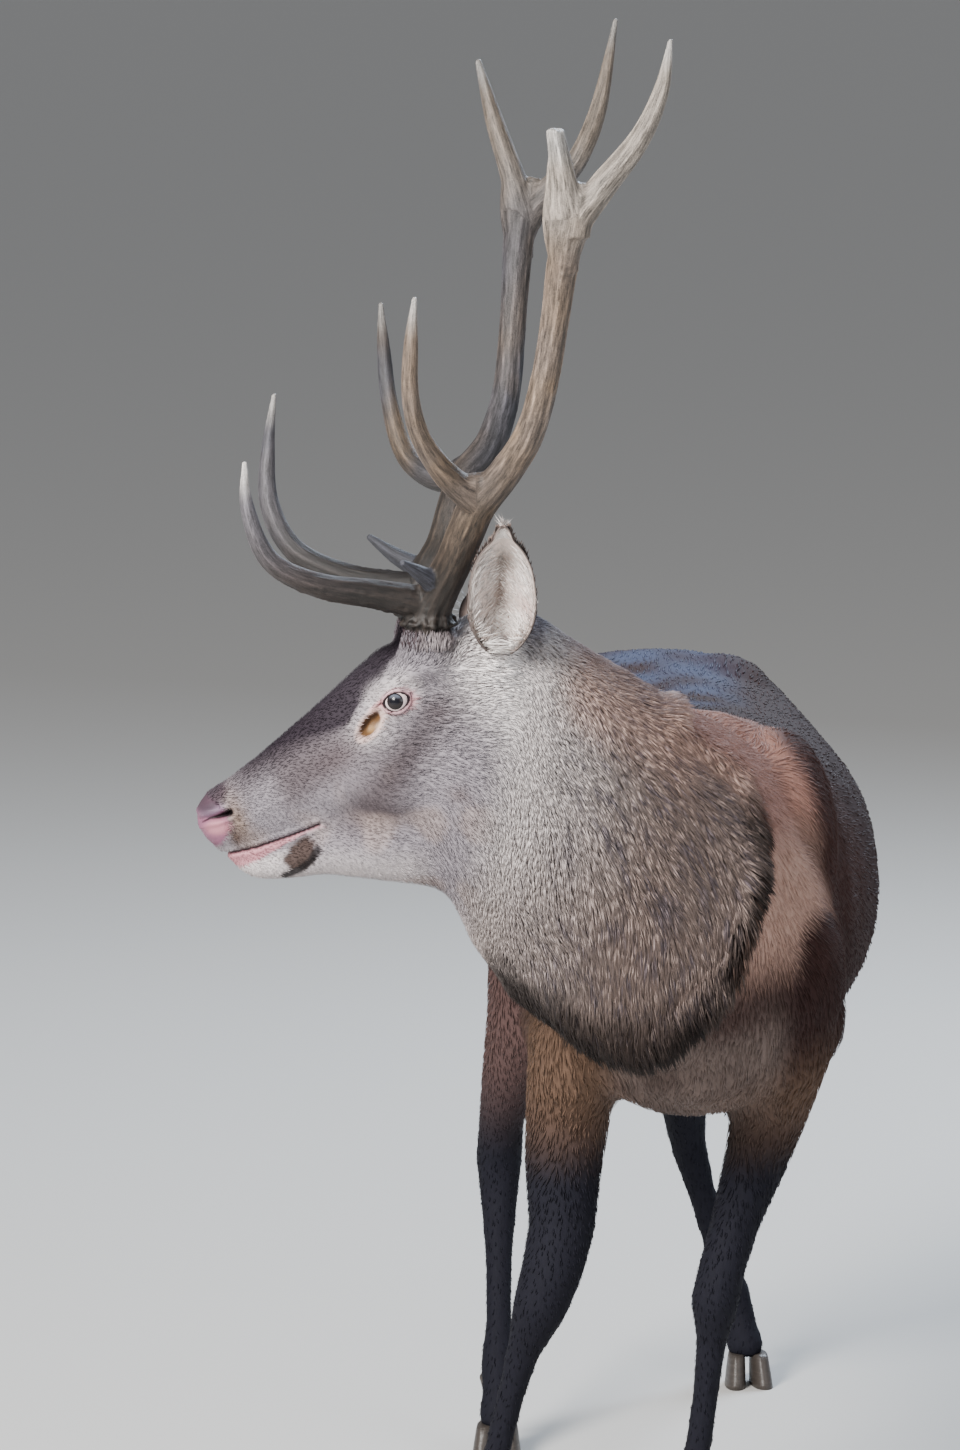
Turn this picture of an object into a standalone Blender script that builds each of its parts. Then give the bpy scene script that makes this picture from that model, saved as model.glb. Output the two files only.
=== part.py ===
"""Red deer stag standing with its head turned to its right: a still, life-size model.

The body is shaped from lofts and muscle masses, joined to one form and parted with thin cuts.
Metres, +Z up. The trunk lies along Y and faces -Y, so the stag's left side is at +X.
"""
import math

import bmesh
import bpy
from mathutils import Matrix, Vector

# ---- driving dimensions ----------------------------------------------------------------------
NAME = "red_deer_stag"
SAW = 0.0005             # width of the thin cuts that part the body and the antlers
FIT = 0.0003             # clearance of a piece let into the body
BODY_VOXEL = 0.009
ANTLER_VOXEL = 0.0034
CORONET = 0.050          # height where the leg ends and the claws begin
BURR = -0.0125           # height of the burr's underside over the poll
EYE_RADIUS = 0.0172
EAR_LENGTH = 0.165
EAR_WIDTH = 0.084
EAR_THICKNESS = 0.0045
CLAW_LENGTH = 0.083
CLAW_WIDTH = 0.033
CLAW_SPREAD = 0.019      # from the foot's centre line to a claw's centre

# The head has its own axes: forward to the nose, its left, and up. Their origin is the poll.
POLL = Vector((-0.35, -0.38, 1.395))
HEAD_TURN = math.radians(5)
HEAD_FORWARD = Vector((-math.cos(HEAD_TURN), -math.sin(HEAD_TURN), 0.0))
HEAD_LEFT = Vector((math.sin(HEAD_TURN), -math.cos(HEAD_TURN), 0.0))

# ---- trunk: y, centre x, back height, belly height, half width, squareness --------------------
TRUNK = (
    (-0.270, 0.000, 0.980, 0.800, 0.080, 2.0),
    (-0.235, 0.000, 1.050, 0.745, 0.135, 2.1),
    (-0.150, 0.000, 1.140, 0.690, 0.178, 2.2),
    (0.010, 0.000, 1.218, 0.668, 0.205, 2.1),
    (0.160, 0.000, 1.196, 0.656, 0.240, 2.1),
    (0.320, 0.006, 1.174, 0.662, 0.270, 2.1),
    (0.480, 0.006, 1.170, 0.682, 0.276, 2.15),
    (0.640, -0.014, 1.180, 0.712, 0.266, 2.3),
    (0.800, -0.028, 1.196, 0.755, 0.240, 2.4),
    (0.930, -0.036, 1.176, 0.790, 0.212, 2.2),
    (1.025, -0.040, 1.130, 0.815, 0.178, 2.0),
    (1.078, -0.040, 1.080, 0.855, 0.130, 2.0),
    (1.106, -0.040, 1.025, 0.905, 0.070, 2.0),
)
# ---- neck with its mane: crest point, throat point, half width --------------------------------
NECK = (
    ((0.000, 0.090, 1.150), (0.000, -0.080, 0.780), 0.160),
    ((-0.012, -0.045, 1.214), (0.000, -0.255, 0.770), 0.158),
    ((-0.052, -0.140, 1.250), (-0.060, -0.318, 0.790), 0.160),
    ((-0.112, -0.245, 1.315), (-0.148, -0.352, 0.838), 0.152),
    ((-0.166, -0.322, 1.358), (-0.222, -0.372, 0.880), 0.140),
    ((-0.214, -0.366, 1.398), (-0.283, -0.388, 0.955), 0.122),
    ((-0.262, -0.384, 1.408), (-0.322, -0.390, 1.030), 0.100),
    ((-0.312, -0.388, 1.390), (-0.362, -0.390, 1.080), 0.078),
)
# ---- skull and muzzle in the head's axes: top (forward, up), bottom (forward, up), half width --
SKULL = (
    ((0.290, -0.250), (0.282, -0.286), 0.021, 2.0),
    ((0.281, -0.230), (0.264, -0.303), 0.034, 2.3),
    ((0.256, -0.212), (0.238, -0.306), 0.038, 2.3),
    ((0.215, -0.180), (0.190, -0.294), 0.040, 2.2),
    ((0.166, -0.138), (0.132, -0.284), 0.046, 2.1),
    ((0.122, -0.099), (0.080, -0.274), 0.055, 2.1),
    ((0.088, -0.068), (0.032, -0.262), 0.066, 2.1),
    ((0.058, -0.042), (-0.012, -0.246), 0.077, 2.2),
    ((0.022, -0.031), (-0.052, -0.214), 0.078, 2.2),
    ((-0.022, -0.027), (-0.086, -0.170), 0.070, 2.1),
    ((-0.066, -0.026), (-0.112, -0.110), 0.052, 2.0),
)
LOWER_JAW = (
    ((0.252, -0.312), (0.243, -0.330), 0.016, 2.0),
    ((0.238, -0.308), (0.218, -0.343), 0.027, 2.2),
    ((0.196, -0.294), (0.180, -0.343), 0.032, 2.2),
    ((0.140, -0.272), (0.128, -0.338), 0.038, 2.1),
    ((0.080, -0.250), (0.070, -0.346), 0.048, 2.0),
    ((0.018, -0.200), (0.012, -0.354), 0.058, 2.0),
    ((-0.060, -0.180), (-0.045, -0.366), 0.064, 2.0),
)
# ---- limbs: centre of each section, half depth front to back, half width ----------------------
FRONT_LEG = {
    "left": (
        ((0.120, -0.130, 0.900), 0.110, 0.070),
        ((0.128, -0.070, 0.790), 0.108, 0.068),
        ((0.112, -0.010, 0.690), 0.082, 0.056),
        ((0.094, -0.002, 0.610), 0.058, 0.045),
        ((0.064, -0.016, 0.520), 0.043, 0.034),
        ((0.046, -0.030, 0.460), 0.040, 0.033),
        ((0.036, -0.034, 0.415), 0.039, 0.035),
        ((0.033, -0.024, 0.362), 0.028, 0.023),
        ((0.025, -0.016, 0.280), 0.024, 0.019),
        ((0.013, -0.008, 0.190), 0.025, 0.020),
        ((0.005, -0.006, 0.128), 0.032, 0.028),
        ((0.001, -0.022, 0.092), 0.026, 0.024),
        ((0.000, -0.040, 0.030), 0.034, 0.033),
    ),
    "right": (
        ((-0.125, -0.130, 0.900), 0.110, 0.070),
        ((-0.150, -0.075, 0.790), 0.108, 0.068),
        ((-0.160, -0.030, 0.690), 0.082, 0.060),
        ((-0.168, -0.036, 0.610), 0.060, 0.054),
        ((-0.170, -0.052, 0.520), 0.048, 0.046),
        ((-0.184, -0.066, 0.462), 0.045, 0.043),
        ((-0.200, -0.068, 0.415), 0.041, 0.039),
        ((-0.222, -0.050, 0.350), 0.028, 0.024),
        ((-0.240, -0.034, 0.280), 0.024, 0.020),
        ((-0.260, -0.018, 0.190), 0.025, 0.020),
        ((-0.276, -0.010, 0.128), 0.032, 0.028),
        ((-0.286, -0.026, 0.092), 0.026, 0.024),
        ((-0.294, -0.044, 0.030), 0.034, 0.033),
    ),
}
HIND_LEG = {
    "left": (
        ((0.090, 0.900, 1.000), 0.165, 0.085),
        ((0.110, 0.880, 0.860), 0.170, 0.090),
        ((0.112, 0.915, 0.750), 0.130, 0.078),
        ((0.088, 0.985, 0.650), 0.085, 0.055),
        ((0.060, 1.070, 0.570), 0.055, 0.040),
        ((0.038, 1.150, 0.500), 0.046, 0.034),
        ((0.030, 1.190, 0.440), 0.046, 0.036),
        ((0.038, 1.206, 0.380), 0.032, 0.029),
        ((0.062, 1.222, 0.290), 0.024, 0.023),
        ((0.092, 1.240, 0.190), 0.025, 0.022),
        ((0.112, 1.246, 0.128), 0.033, 0.029),
        ((0.122, 1.234, 0.092), 0.027, 0.025),
        ((0.132, 1.214, 0.030), 0.034, 0.033),
    ),
    "right": (
        ((-0.160, 0.890, 1.000), 0.165, 0.085),
        ((-0.178, 0.820, 0.860), 0.170, 0.090),
        ((-0.190, 0.770, 0.750), 0.120, 0.080),
        ((-0.212, 0.790, 0.650), 0.088, 0.060),
        ((-0.236, 0.842, 0.560), 0.060, 0.042),
        ((-0.248, 0.896, 0.480), 0.050, 0.034),
        ((-0.252, 0.920, 0.415), 0.047, 0.036),
        ((-0.252, 0.906, 0.355), 0.033, 0.029),
        ((-0.252, 0.872, 0.275), 0.025, 0.022),
        ((-0.252, 0.830, 0.185), 0.025, 0.021),
        ((-0.253, 0.804, 0.126), 0.032, 0.028),
        ((-0.254, 0.784, 0.090), 0.027, 0.024),
        ((-0.255, 0.762, 0.030), 0.034, 0.033),
    ),
}
TAIL = (
    ((-0.040, 1.020, 1.102), 0.026, 0.040),
    ((-0.040, 1.092, 1.096), 0.024, 0.036),
    ((-0.040, 1.134, 1.064), 0.021, 0.032),
    ((-0.040, 1.151, 1.010), 0.018, 0.029),
    ((-0.040, 1.153, 0.955), 0.012, 0.020),
    ((-0.040, 1.150, 0.920), 0.005, 0.009),
)
# ---- muscle masses of the body: centre, half sizes ---------------------------------------------
MUSCLES = (
    ((0.118, 0.010, 1.030), (0.085, 0.150, 0.165)),      # left shoulder blade
    ((-0.118, 0.010, 1.030), (0.085, 0.150, 0.165)),
    ((0.132, -0.085, 0.880), (0.078, 0.125, 0.125)),     # point of the shoulder
    ((-0.132, -0.085, 0.880), (0.078, 0.125, 0.125)),
    ((0.155, 0.030, 0.800), (0.062, 0.095, 0.085)),      # upper arm
    ((-0.168, 0.020, 0.800), (0.062, 0.095, 0.085)),
    ((0.066, 0.745, 1.105), (0.090, 0.110, 0.092)),      # hip bones
    ((-0.122, 0.745, 1.105), (0.090, 0.110, 0.092)),
    ((0.052, 0.985, 0.940), (0.088, 0.112, 0.150)),      # buttocks
    ((-0.132, 0.975, 0.940), (0.088, 0.112, 0.150)),
    ((-0.012, 0.570, 0.690), (0.030, 0.090, 0.032)),     # sheath under the belly
    ((0.115, 0.800, 0.830), (0.085, 0.110, 0.120)),      # front of the thighs
    ((-0.190, 0.730, 0.830), (0.085, 0.110, 0.120)),
    ((0.000, -0.170, 0.800), (0.110, 0.100, 0.090)),     # brisket
)
HEAD_MASSES = (          # forward, left, up; half sizes; on both sides of the head
    ((0.036, 0.058, -0.190), (0.074, 0.024, 0.064)),     # cheek
    ((0.050, 0.056, -0.085), (0.034, 0.022, 0.020)),     # brow ridge
    ((0.005, 0.066, -0.128), (0.046, 0.018, 0.022)),     # cheek bone
    ((0.254, 0.020, -0.262), (0.030, 0.018, 0.030)),     # side of the muzzle
)
# ---- antlers in the head's axes: (forward, out, up), radius ------------------------------------
BEAM = {
    "left": (((0.000, 0.051, -0.035), 0.028), ((0.000, 0.053, 0.006), 0.029), ((-0.012, 0.066, 0.036), 0.026),
             ((-0.029, 0.090, 0.075), 0.024), ((-0.042, 0.120, 0.116), 0.024), ((-0.057, 0.150, 0.157), 0.024),
             ((-0.086, 0.180, 0.197), 0.021), ((-0.113, 0.220, 0.251), 0.019), ((-0.129, 0.250, 0.319), 0.018),
             ((-0.139, 0.270, 0.395), 0.018), ((-0.147, 0.285, 0.463), 0.020), ((-0.158, 0.300, 0.526), 0.025)),
    "right": (((0.000, 0.051, -0.035), 0.028), ((0.000, 0.053, 0.010), 0.029), ((-0.013, 0.066, 0.044), 0.026),
              ((-0.032, 0.090, 0.076), 0.024), ((-0.048, 0.120, 0.118), 0.024), ((-0.065, 0.150, 0.156), 0.024),
              ((-0.099, 0.180, 0.197), 0.021), ((-0.122, 0.220, 0.250), 0.019), ((-0.133, 0.250, 0.313), 0.018),
              ((-0.139, 0.270, 0.377), 0.018), ((-0.145, 0.285, 0.441), 0.020), ((-0.154, 0.300, 0.499), 0.025)),
}
TINES = {
    "left": {
        "brow": (((0.004, 0.055, 0.018), 0.022), ((0.070, 0.075, 0.033), 0.019), ((0.143, 0.100, 0.048), 0.016),
                 ((0.206, 0.125, 0.084), 0.013), ((0.234, 0.140, 0.152), 0.009), ((0.237, 0.136, 0.209), 0.003)),
        "bez": (((-0.014, 0.066, 0.040), 0.017), ((0.012, 0.098, 0.060), 0.011), ((0.040, 0.132, 0.080), 0.004)),
        "trez": (((-0.057, 0.150, 0.155), 0.022), ((-0.013, 0.180, 0.194), 0.017), ((0.022, 0.220, 0.245), 0.013),
                 ((0.038, 0.250, 0.301), 0.011), ((0.038, 0.262, 0.365), 0.009), ((0.033, 0.260, 0.424), 0.003)),
        "crown_front": (((-0.157, 0.298, 0.510), 0.020), ((-0.146, 0.312, 0.568), 0.016),
                        ((-0.133, 0.330, 0.630), 0.011)),
        "crown_back": (((-0.157, 0.300, 0.510), 0.022), ((-0.194, 0.300, 0.560), 0.018),
                       ((-0.240, 0.290, 0.616), 0.014), ((-0.270, 0.270, 0.676), 0.010),
                       ((-0.284, 0.250, 0.738), 0.003)),
    },
    "right": {
        "brow": (((0.004, 0.055, 0.022), 0.022), ((0.092, 0.075, 0.036), 0.018), ((0.159, 0.100, 0.068), 0.015),
                 ((0.191, 0.125, 0.126), 0.013), ((0.192, 0.140, 0.196), 0.009), ((0.184, 0.135, 0.269), 0.003)),
        "bez": (((-0.014, 0.066, 0.040), 0.017), ((0.028, 0.098, 0.060), 0.011), ((0.064, 0.127, 0.084), 0.004)),
        "trez": (((-0.065, 0.150, 0.154), 0.021), ((-0.022, 0.180, 0.156), 0.017), ((0.010, 0.220, 0.185), 0.014),
                 ((0.027, 0.250, 0.249), 0.011), ((0.033, 0.265, 0.313), 0.009), ((0.037, 0.260, 0.376), 0.003)),
        "crown_front": (((-0.154, 0.298, 0.486), 0.022), ((-0.138, 0.310, 0.545), 0.016),
                        ((-0.118, 0.330, 0.609), 0.012), ((-0.097, 0.340, 0.688), 0.004)),
        "crown_back": (((-0.154, 0.300, 0.486), 0.022), ((-0.192, 0.300, 0.522), 0.018),
                       ((-0.227, 0.290, 0.565), 0.014), ((-0.251, 0.270, 0.635), 0.011),
                       ((-0.270, 0.250, 0.745), 0.003)),
    },
}
# ---- ears: root, tip, and the way the cup opens, in the head's axes ----------------------------
EARS = {
    "left": ((-0.090, 0.070, -0.030), (-0.084, 0.180, 0.130), (0.05, 0.90, -0.30)),
    "right": ((-0.076, 0.064, -0.046), (-0.112, 0.216, -0.002), (0.75, -0.10, 0.10)),
}
# ---- colours and budgets -----------------------------------------------------------------------
FINISHES = {
    "coat_body": ((0.115, 0.070, 0.045), 0.85, 0.0),
    "coat_neck": ((0.200, 0.160, 0.125), 0.88, 0.0),
    "coat_head": ((0.260, 0.215, 0.190), 0.85, 0.0),
    "coat_leg": ((0.045, 0.034, 0.030), 0.80, 0.0),
    "coat_tail": ((0.300, 0.190, 0.100), 0.85, 0.0),
    "ear_hair": ((0.420, 0.350, 0.270), 0.85, 0.0),
    "antler_base": ((0.090, 0.065, 0.045), 0.65, 0.0),
    "antler_beam": ((0.170, 0.130, 0.095), 0.60, 0.0),
    "antler_tine": ((0.420, 0.360, 0.290), 0.50, 0.0),
    "eye_dark": ((0.020, 0.018, 0.022), 0.08, 0.0),
    "hoof_horn": ((0.030, 0.027, 0.026), 0.45, 0.0),
}
BUDGETS = {"head": 2100, "neck": 560, "trunk": 1100, "tail": 90}
LEG_BUDGET = 400
ANTLER_BUDGETS = {"base": 190, "brow": 96, "trez": 96, "beam": 150, "crown": 200}


# ---- helpers -----------------------------------------------------------------------------------
def empty_scene():
    for item in list(bpy.data.objects):
        bpy.data.objects.remove(item, do_unlink=True)


def collection(name):
    group = bpy.data.collections.new(name)
    bpy.context.scene.collection.children.link(group)
    return group


def finish(name):
    """The material of that name, made once."""
    made = bpy.data.materials.get(name)
    if made:
        return made
    colour, roughness, metallic = FINISHES[name]
    made = bpy.data.materials.new(name)
    made.use_nodes = True
    shader = made.node_tree.nodes["Principled BSDF"]
    shader.inputs["Base Color"].default_value = (*colour, 1.0)
    shader.inputs["Roughness"].default_value = roughness
    shader.inputs["Metallic"].default_value = metallic
    made.diffuse_color = (*colour, 1.0)
    return made


def to_object(name, mesh_data, group, material=None):
    """A bmesh, or a mesh, as an object in a collection."""
    if isinstance(mesh_data, bmesh.types.BMesh):
        mesh = bpy.data.meshes.new(name)
        mesh_data.to_mesh(mesh)
        mesh_data.free()
    else:
        mesh = mesh_data
        mesh.name = name
    item = bpy.data.objects.new(name, mesh)
    group.objects.link(item)
    if material:
        mesh.materials.clear()
        mesh.materials.append(finish(material))
    return item


def settle(item):
    """The object's evaluated shape, as a mesh of its own."""
    graph = bpy.context.evaluated_depsgraph_get()
    graph.update()
    return bpy.data.meshes.new_from_object(item.evaluated_get(graph))


def head_point(forward, left, up):
    return POLL + HEAD_FORWARD * forward + HEAD_LEFT * left + Vector((0.0, 0.0, up))


def head_matrix():
    """Rotation of the head's axes: local -Y is forward and local X is left."""
    return Matrix((HEAD_LEFT, -HEAD_FORWARD, (0.0, 0.0, 1.0))).transposed().to_4x4()


def power(value, exponent):
    return math.copysign(abs(value) ** exponent, value)


def loft(form, sections, sides=24):
    """Closed skin over sections, each given by its centre, two half axes and a squareness."""
    rings = []
    for centre, up, side, square in sections:
        ring = []
        for step in range(sides):
            turn = 2 * math.pi * step / sides
            across = side * power(math.cos(turn), 2 / square)
            ring.append(form.verts.new(centre + across + up * power(math.sin(turn), 2 / square)))
        rings.append(ring)
    faces = [form.faces.new(rings[0]), form.faces.new(rings[-1])]
    for lower, upper in zip(rings, rings[1:]):
        for step in range(sides):
            after = (step + 1) % sides
            faces.append(form.faces.new((lower[step], upper[step], upper[after], lower[after])))
    bmesh.ops.recalc_face_normals(form, faces=faces)


def section_between(tops, bottoms, widths, squares):
    """Sections through pairs of a top and a bottom point, square to the line of their middles."""
    middles = [(top + bottom) / 2 for top, bottom in zip(tops, bottoms)]
    sections = []
    for place, middle in enumerate(middles):
        along = middles[min(place + 1, len(middles) - 1)] - middles[max(place - 1, 0)]
        up = (tops[place] - bottoms[place]) / 2
        side = along.cross(up).normalized() * widths[place]
        sections.append((middle, up, side, squares[place]))
    return sections


def limb(form, stations, sides=20):
    """Round limb along the centres of its stations, its broad side facing X."""
    centres = [Vector(station[0]) for station in stations]
    sections = []
    for place, (_, depth, width) in enumerate(stations):
        along = centres[min(place + 1, len(centres) - 1)] - centres[max(place - 1, 0)]
        side = Vector((1.0, 0.0, 0.0)) - along * (along.x / along.length_squared)
        side.normalize()
        front = side.cross(along).normalized()
        sections.append((centres[place], front * depth, side * width, 2.0))
    loft(form, sections, sides)


def ellipsoid(form, centre, half_sizes, turn=None):
    place = Matrix.Translation(centre) @ (turn or Matrix.Identity(4)) @ Matrix.Diagonal((*half_sizes, 1.0))
    bmesh.ops.create_uvsphere(form, u_segments=20, v_segments=12, radius=1.0, matrix=place)


def smooth_path(stations, steps):
    """Catmull-Rom curve through (point, radius) stations."""
    values = [Vector((*head, radius)) for head, radius in stations]
    path = []
    for place in range(len(values) - 1):
        before = values[max(place - 1, 0)]
        start, end = values[place], values[place + 1]
        after = values[min(place + 2, len(values) - 1)]
        for step in range(steps):
            t = step / steps
            point = (2 * start + (end - before) * t
                     + (2 * before - 5 * start + 4 * end - after) * t ** 2
                     + (3 * start - before - 3 * end + after) * t ** 3) / 2
            path.append(point)
    path.append(values[-1])
    return [(point.xyz, point.w) for point in path]


def tube(form, path, sides=14):
    """Round tube along (point, radius) pairs, carried round bends without twist."""
    side = Vector((0.0, 1.0, 0.0))
    sections = []
    for place, (centre, radius) in enumerate(path):
        along = path[min(place + 1, len(path) - 1)][0] - path[max(place - 1, 0)][0]
        side = (side - along * (side.dot(along) / along.length_squared)).normalized()
        sections.append((centre, side.cross(along).normalized() * radius, side * radius, 2.0))
    loft(form, sections, sides)


def fuse(name, form, voxel, rounds, group):
    """One closed skin round all the shapes of a form, with its junctions smoothed."""
    item = to_object(name, form, group)
    remesh = item.modifiers.new("union", "REMESH")
    remesh.mode = "VOXEL"
    remesh.voxel_size = voxel
    ease = item.modifiers.new("ease", "SMOOTH")
    ease.factor = 0.5
    ease.iterations = rounds
    return item


def saw(form, centre, normal, reach, depth=None):
    """Part a form along a plane, within a reach of a centre, and close both faces of the cut.

    The reach is measured as near to X as the plane allows, and the depth square to it.
    """
    centre = Vector(centre)
    axis = Vector(normal).normalized()
    across = Vector((1.0, 0.0, 0.0)) if abs(axis.x) < 0.9 else Vector((0.0, 1.0, 0.0))
    across = (across - axis * across.dot(axis)).normalized()
    down = axis.cross(across)
    near = []
    for face in form.faces:
        away = face.calc_center_median() - centre
        if abs(away.dot(across)) < reach and abs(away.dot(down)) < (depth or reach):
            near.append(face)
    corners = {corner for face in near for corner in face.verts}
    sides = {edge for face in near for edge in face.edges}
    split_geometry = bmesh.ops.bisect_plane(form, geom=[*near, *sides, *corners], dist=SAW * 0.1,
                                            plane_co=centre, plane_no=axis)["geom_cut"]
    rim = [part for part in split_geometry if isinstance(part, bmesh.types.BMEdge)]
    bmesh.ops.split_edges(form, edges=rim)
    for sign in (1, -1):
        open_edges = [edge for edge in form.edges if edge.is_boundary
                      and (edge.link_faces[0].calc_center_median() - centre).dot(axis) * sign > 0]
        for corner in {corner for edge in open_edges for corner in edge.verts}:
            corner.co += axis * sign * SAW / 2
        bmesh.ops.triangle_fill(form, edges=open_edges, use_beauty=True)
    bmesh.ops.recalc_face_normals(form, faces=form.faces)


def cutter(name, form, group):
    """A cutting tool: drawn as wire and left out of the render."""
    item = to_object(name, form, group)
    item.hide_render = True
    item.display_type = "WIRE"
    return item


def cut(item, tool, operation="DIFFERENCE"):
    step = item.modifiers.new("cut", "BOOLEAN")
    step.operation = operation
    step.solver = "EXACT"
    step.object = tool
    return step


def islands(form):
    """The separate bodies of a bmesh, as lists of faces."""
    waiting = set(form.faces)
    found = []
    while waiting:
        seed = waiting.pop()
        body, border = [seed], [seed]
        while border:
            for edge in border.pop().edges:
                for face in edge.link_faces:
                    if face in waiting:
                        waiting.remove(face)
                        border.append(face)
                        body.append(face)
        found.append(body)
    return found


def split(item, cuts, anchors):
    """Saw an object into its bodies, each named by the anchor nearest to its middle."""
    form = bmesh.new()
    form.from_mesh(settle(item))
    for where in cuts:
        saw(form, *where)
    bmesh.ops.remove_doubles(form, verts=form.verts, dist=SAW * 0.45)
    bmesh.ops.recalc_face_normals(form, faces=form.faces)
    form.faces.index_update()
    parts = {}
    for body in islands(form):
        points = {corner.co.to_tuple() for face in body for corner in face.verts}
        middle = sum((Vector(point) for point in points), Vector()) / len(points)
        name = min(anchors, key=lambda key: (Vector(anchors[key]) - middle).length)
        if name in parts:
            raise ValueError(f"two bodies near {name}")
        kept = {face.index for face in body}
        part = form.copy()
        bmesh.ops.delete(part, geom=[face for face in part.faces if face.index not in kept], context="FACES")
        parts[name] = part
    form.free()
    bpy.data.objects.remove(item, do_unlink=True)
    return parts


def is_closed(mesh):
    form = bmesh.new()
    form.from_mesh(mesh)
    closed = all(edge.is_manifold and edge.is_contiguous for edge in form.edges)
    form.free()
    return closed


def thin_out(item, triangles):
    """Collapse an object to about a number of triangles, a few more where it wouldn't stay closed."""
    item.data.calc_loop_triangles()
    dense = len(item.data.loop_triangles)
    step = item.modifiers.new("facets", "DECIMATE")
    step.use_collapse_triangulate = True
    for more in range(10):
        step.ratio = min(1.0, triangles * (1 + 0.1 * more) / dense)
        if is_closed(settle(item)):
            break
    return bake(item)


def bake(item):
    """Replace an object's mesh by its evaluated shape, facing outwards."""
    mesh = settle(item)
    form = bmesh.new()
    form.from_mesh(mesh)
    bmesh.ops.recalc_face_normals(form, faces=form.faces)
    form.to_mesh(mesh)
    form.free()
    materials = list(item.data.materials)
    item.modifiers.clear()
    item.data = mesh
    mesh.name = item.name
    mesh.materials.clear()
    for material in materials:
        mesh.materials.append(material)
    return item


def soften(item):
    item.data.shade_smooth()
    item.data.set_sharp_from_angle(angle=math.radians(40))


def swollen(item, amount, group):
    """A copy of an object grown along its normals, as a tool for fitting pieces to it."""
    copy = item.copy()
    copy.data = item.data.copy()
    copy.name = item.name + "_fit"
    group.objects.link(copy)
    copy.hide_render = True
    copy.display_type = "WIRE"
    grow = copy.modifiers.new("grow", "DISPLACE")
    grow.strength = amount
    grow.mid_level = 0.0
    return copy


# ---- flesh -------------------------------------------------------------------------------------
def trunk_form():
    form = bmesh.new()
    middle_x = [row[1] for row in TRUNK]
    tops = [Vector((x, row[0], row[2])) for x, row in zip(middle_x, TRUNK)]
    bottoms = [Vector((x, row[0], row[3])) for x, row in zip(middle_x, TRUNK)]
    sections = section_between(tops, bottoms, [row[4] for row in TRUNK], [row[5] for row in TRUNK])
    loft(form, sections, 32)
    tops = [Vector(row[0]) for row in NECK]
    bottoms = [Vector(row[1]) for row in NECK]
    loft(form, section_between(tops, bottoms, [row[2] for row in NECK], [2.0] * len(NECK)), 32)
    for centre, half_sizes in MUSCLES:
        ellipsoid(form, centre, half_sizes)
    for side in ("left", "right"):
        limb(form, FRONT_LEG[side])
        limb(form, HIND_LEG[side])
    limb(form, TAIL)
    return form


def head_form(form):
    for rows in (SKULL, LOWER_JAW):
        tops = [head_point(row[0][0], 0.0, row[0][1]) for row in rows]
        bottoms = [head_point(row[1][0], 0.0, row[1][1]) for row in rows]
        loft(form, section_between(tops, bottoms, [row[2] for row in rows], [row[3] for row in rows]), 28)
    for (forward, left, up), (long, wide, high) in HEAD_MASSES:
        for side in (1, -1):
            ellipsoid(form, head_point(forward, side * left, up), (wide, long, high), head_matrix())
    for side in (1, -1):
        path = [(head_point(0.0, side * 0.046, -0.060), 0.026), (head_point(0.0, side * 0.051, 0.006), 0.025)]
        tube(form, path)


def leg_cut(side, front):
    """The cut that parts a leg from the trunk: low on the inside and high on the outside."""
    sign = 1 if side == "left" else -1
    if front:
        centre = (0.135, -0.030, 0.720) if side == "left" else (-0.165, -0.050, 0.720)
        return centre, (-0.70 * sign, 0.25, 1.0), 0.125, 0.170
    centre = (0.125, 0.900, 0.800) if side == "left" else (-0.200, 0.860, 0.800)
    return centre, (-0.60 * sign, -0.45, 1.0), 0.150, 0.260


def flesh(group, tools):
    """Head, neck, trunk, tail and legs: one form, sawn into its parts."""
    form = trunk_form()
    head_form(form)
    whole = fuse("whole", form, BODY_VOXEL, 6, tools)
    tilt = HEAD_FORWARD + Vector((0.0, 0.0, 0.22))
    cuts = [
        (head_point(-0.085, 0.0, -0.190), tilt, 0.30),
        ((0.0, -0.135, 1.000), (0.0, -0.909, 0.417), 0.36),
        ((-0.040, 1.118, 1.030), (0.0, 1.0, 0.0), 0.065, 0.13),
    ]
    anchors = {"head": head_point(0.11, 0.0, -0.20), "neck": (-0.16, -0.28, 1.10), "trunk": (0, 0.45, 0.93),
               "tail": (-0.04, 1.14, 1.01)}
    for side, sign in (("left", 1), ("right", -1)):
        cuts.append((head_point(0.0, sign * 0.051, BURR), (0, 0, 1), 0.036))
        anchors[f"waste_pedicle_{side}"] = head_point(0.0, sign * 0.051, 0.0)
        for end, rows in (("front", FRONT_LEG[side]), ("hind", HIND_LEG[side])):
            cuts.append(leg_cut(side, end == "front"))
            foot = Vector(rows[-1][0])
            cuts.append(((foot.x, foot.y, CORONET), (0, 0, 1), 0.07))
            anchors[f"leg_{end}_{side}"] = Vector(rows[6][0])
            anchors[f"waste_{end}_{side}"] = Vector((foot.x, foot.y, 0.02))
    made = {}
    coats = {"head": "coat_head", "neck": "coat_neck", "trunk": "coat_body", "tail": "coat_tail"}
    for name, form in split(whole, cuts, anchors).items():
        if name.startswith("waste"):
            form.free()
            continue
        item = to_object(name, form, group, coats.get(name, "coat_leg"))
        made[name] = thin_out(item, BUDGETS.get(name, LEG_BUDGET))
        soften(item)
    return made


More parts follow.
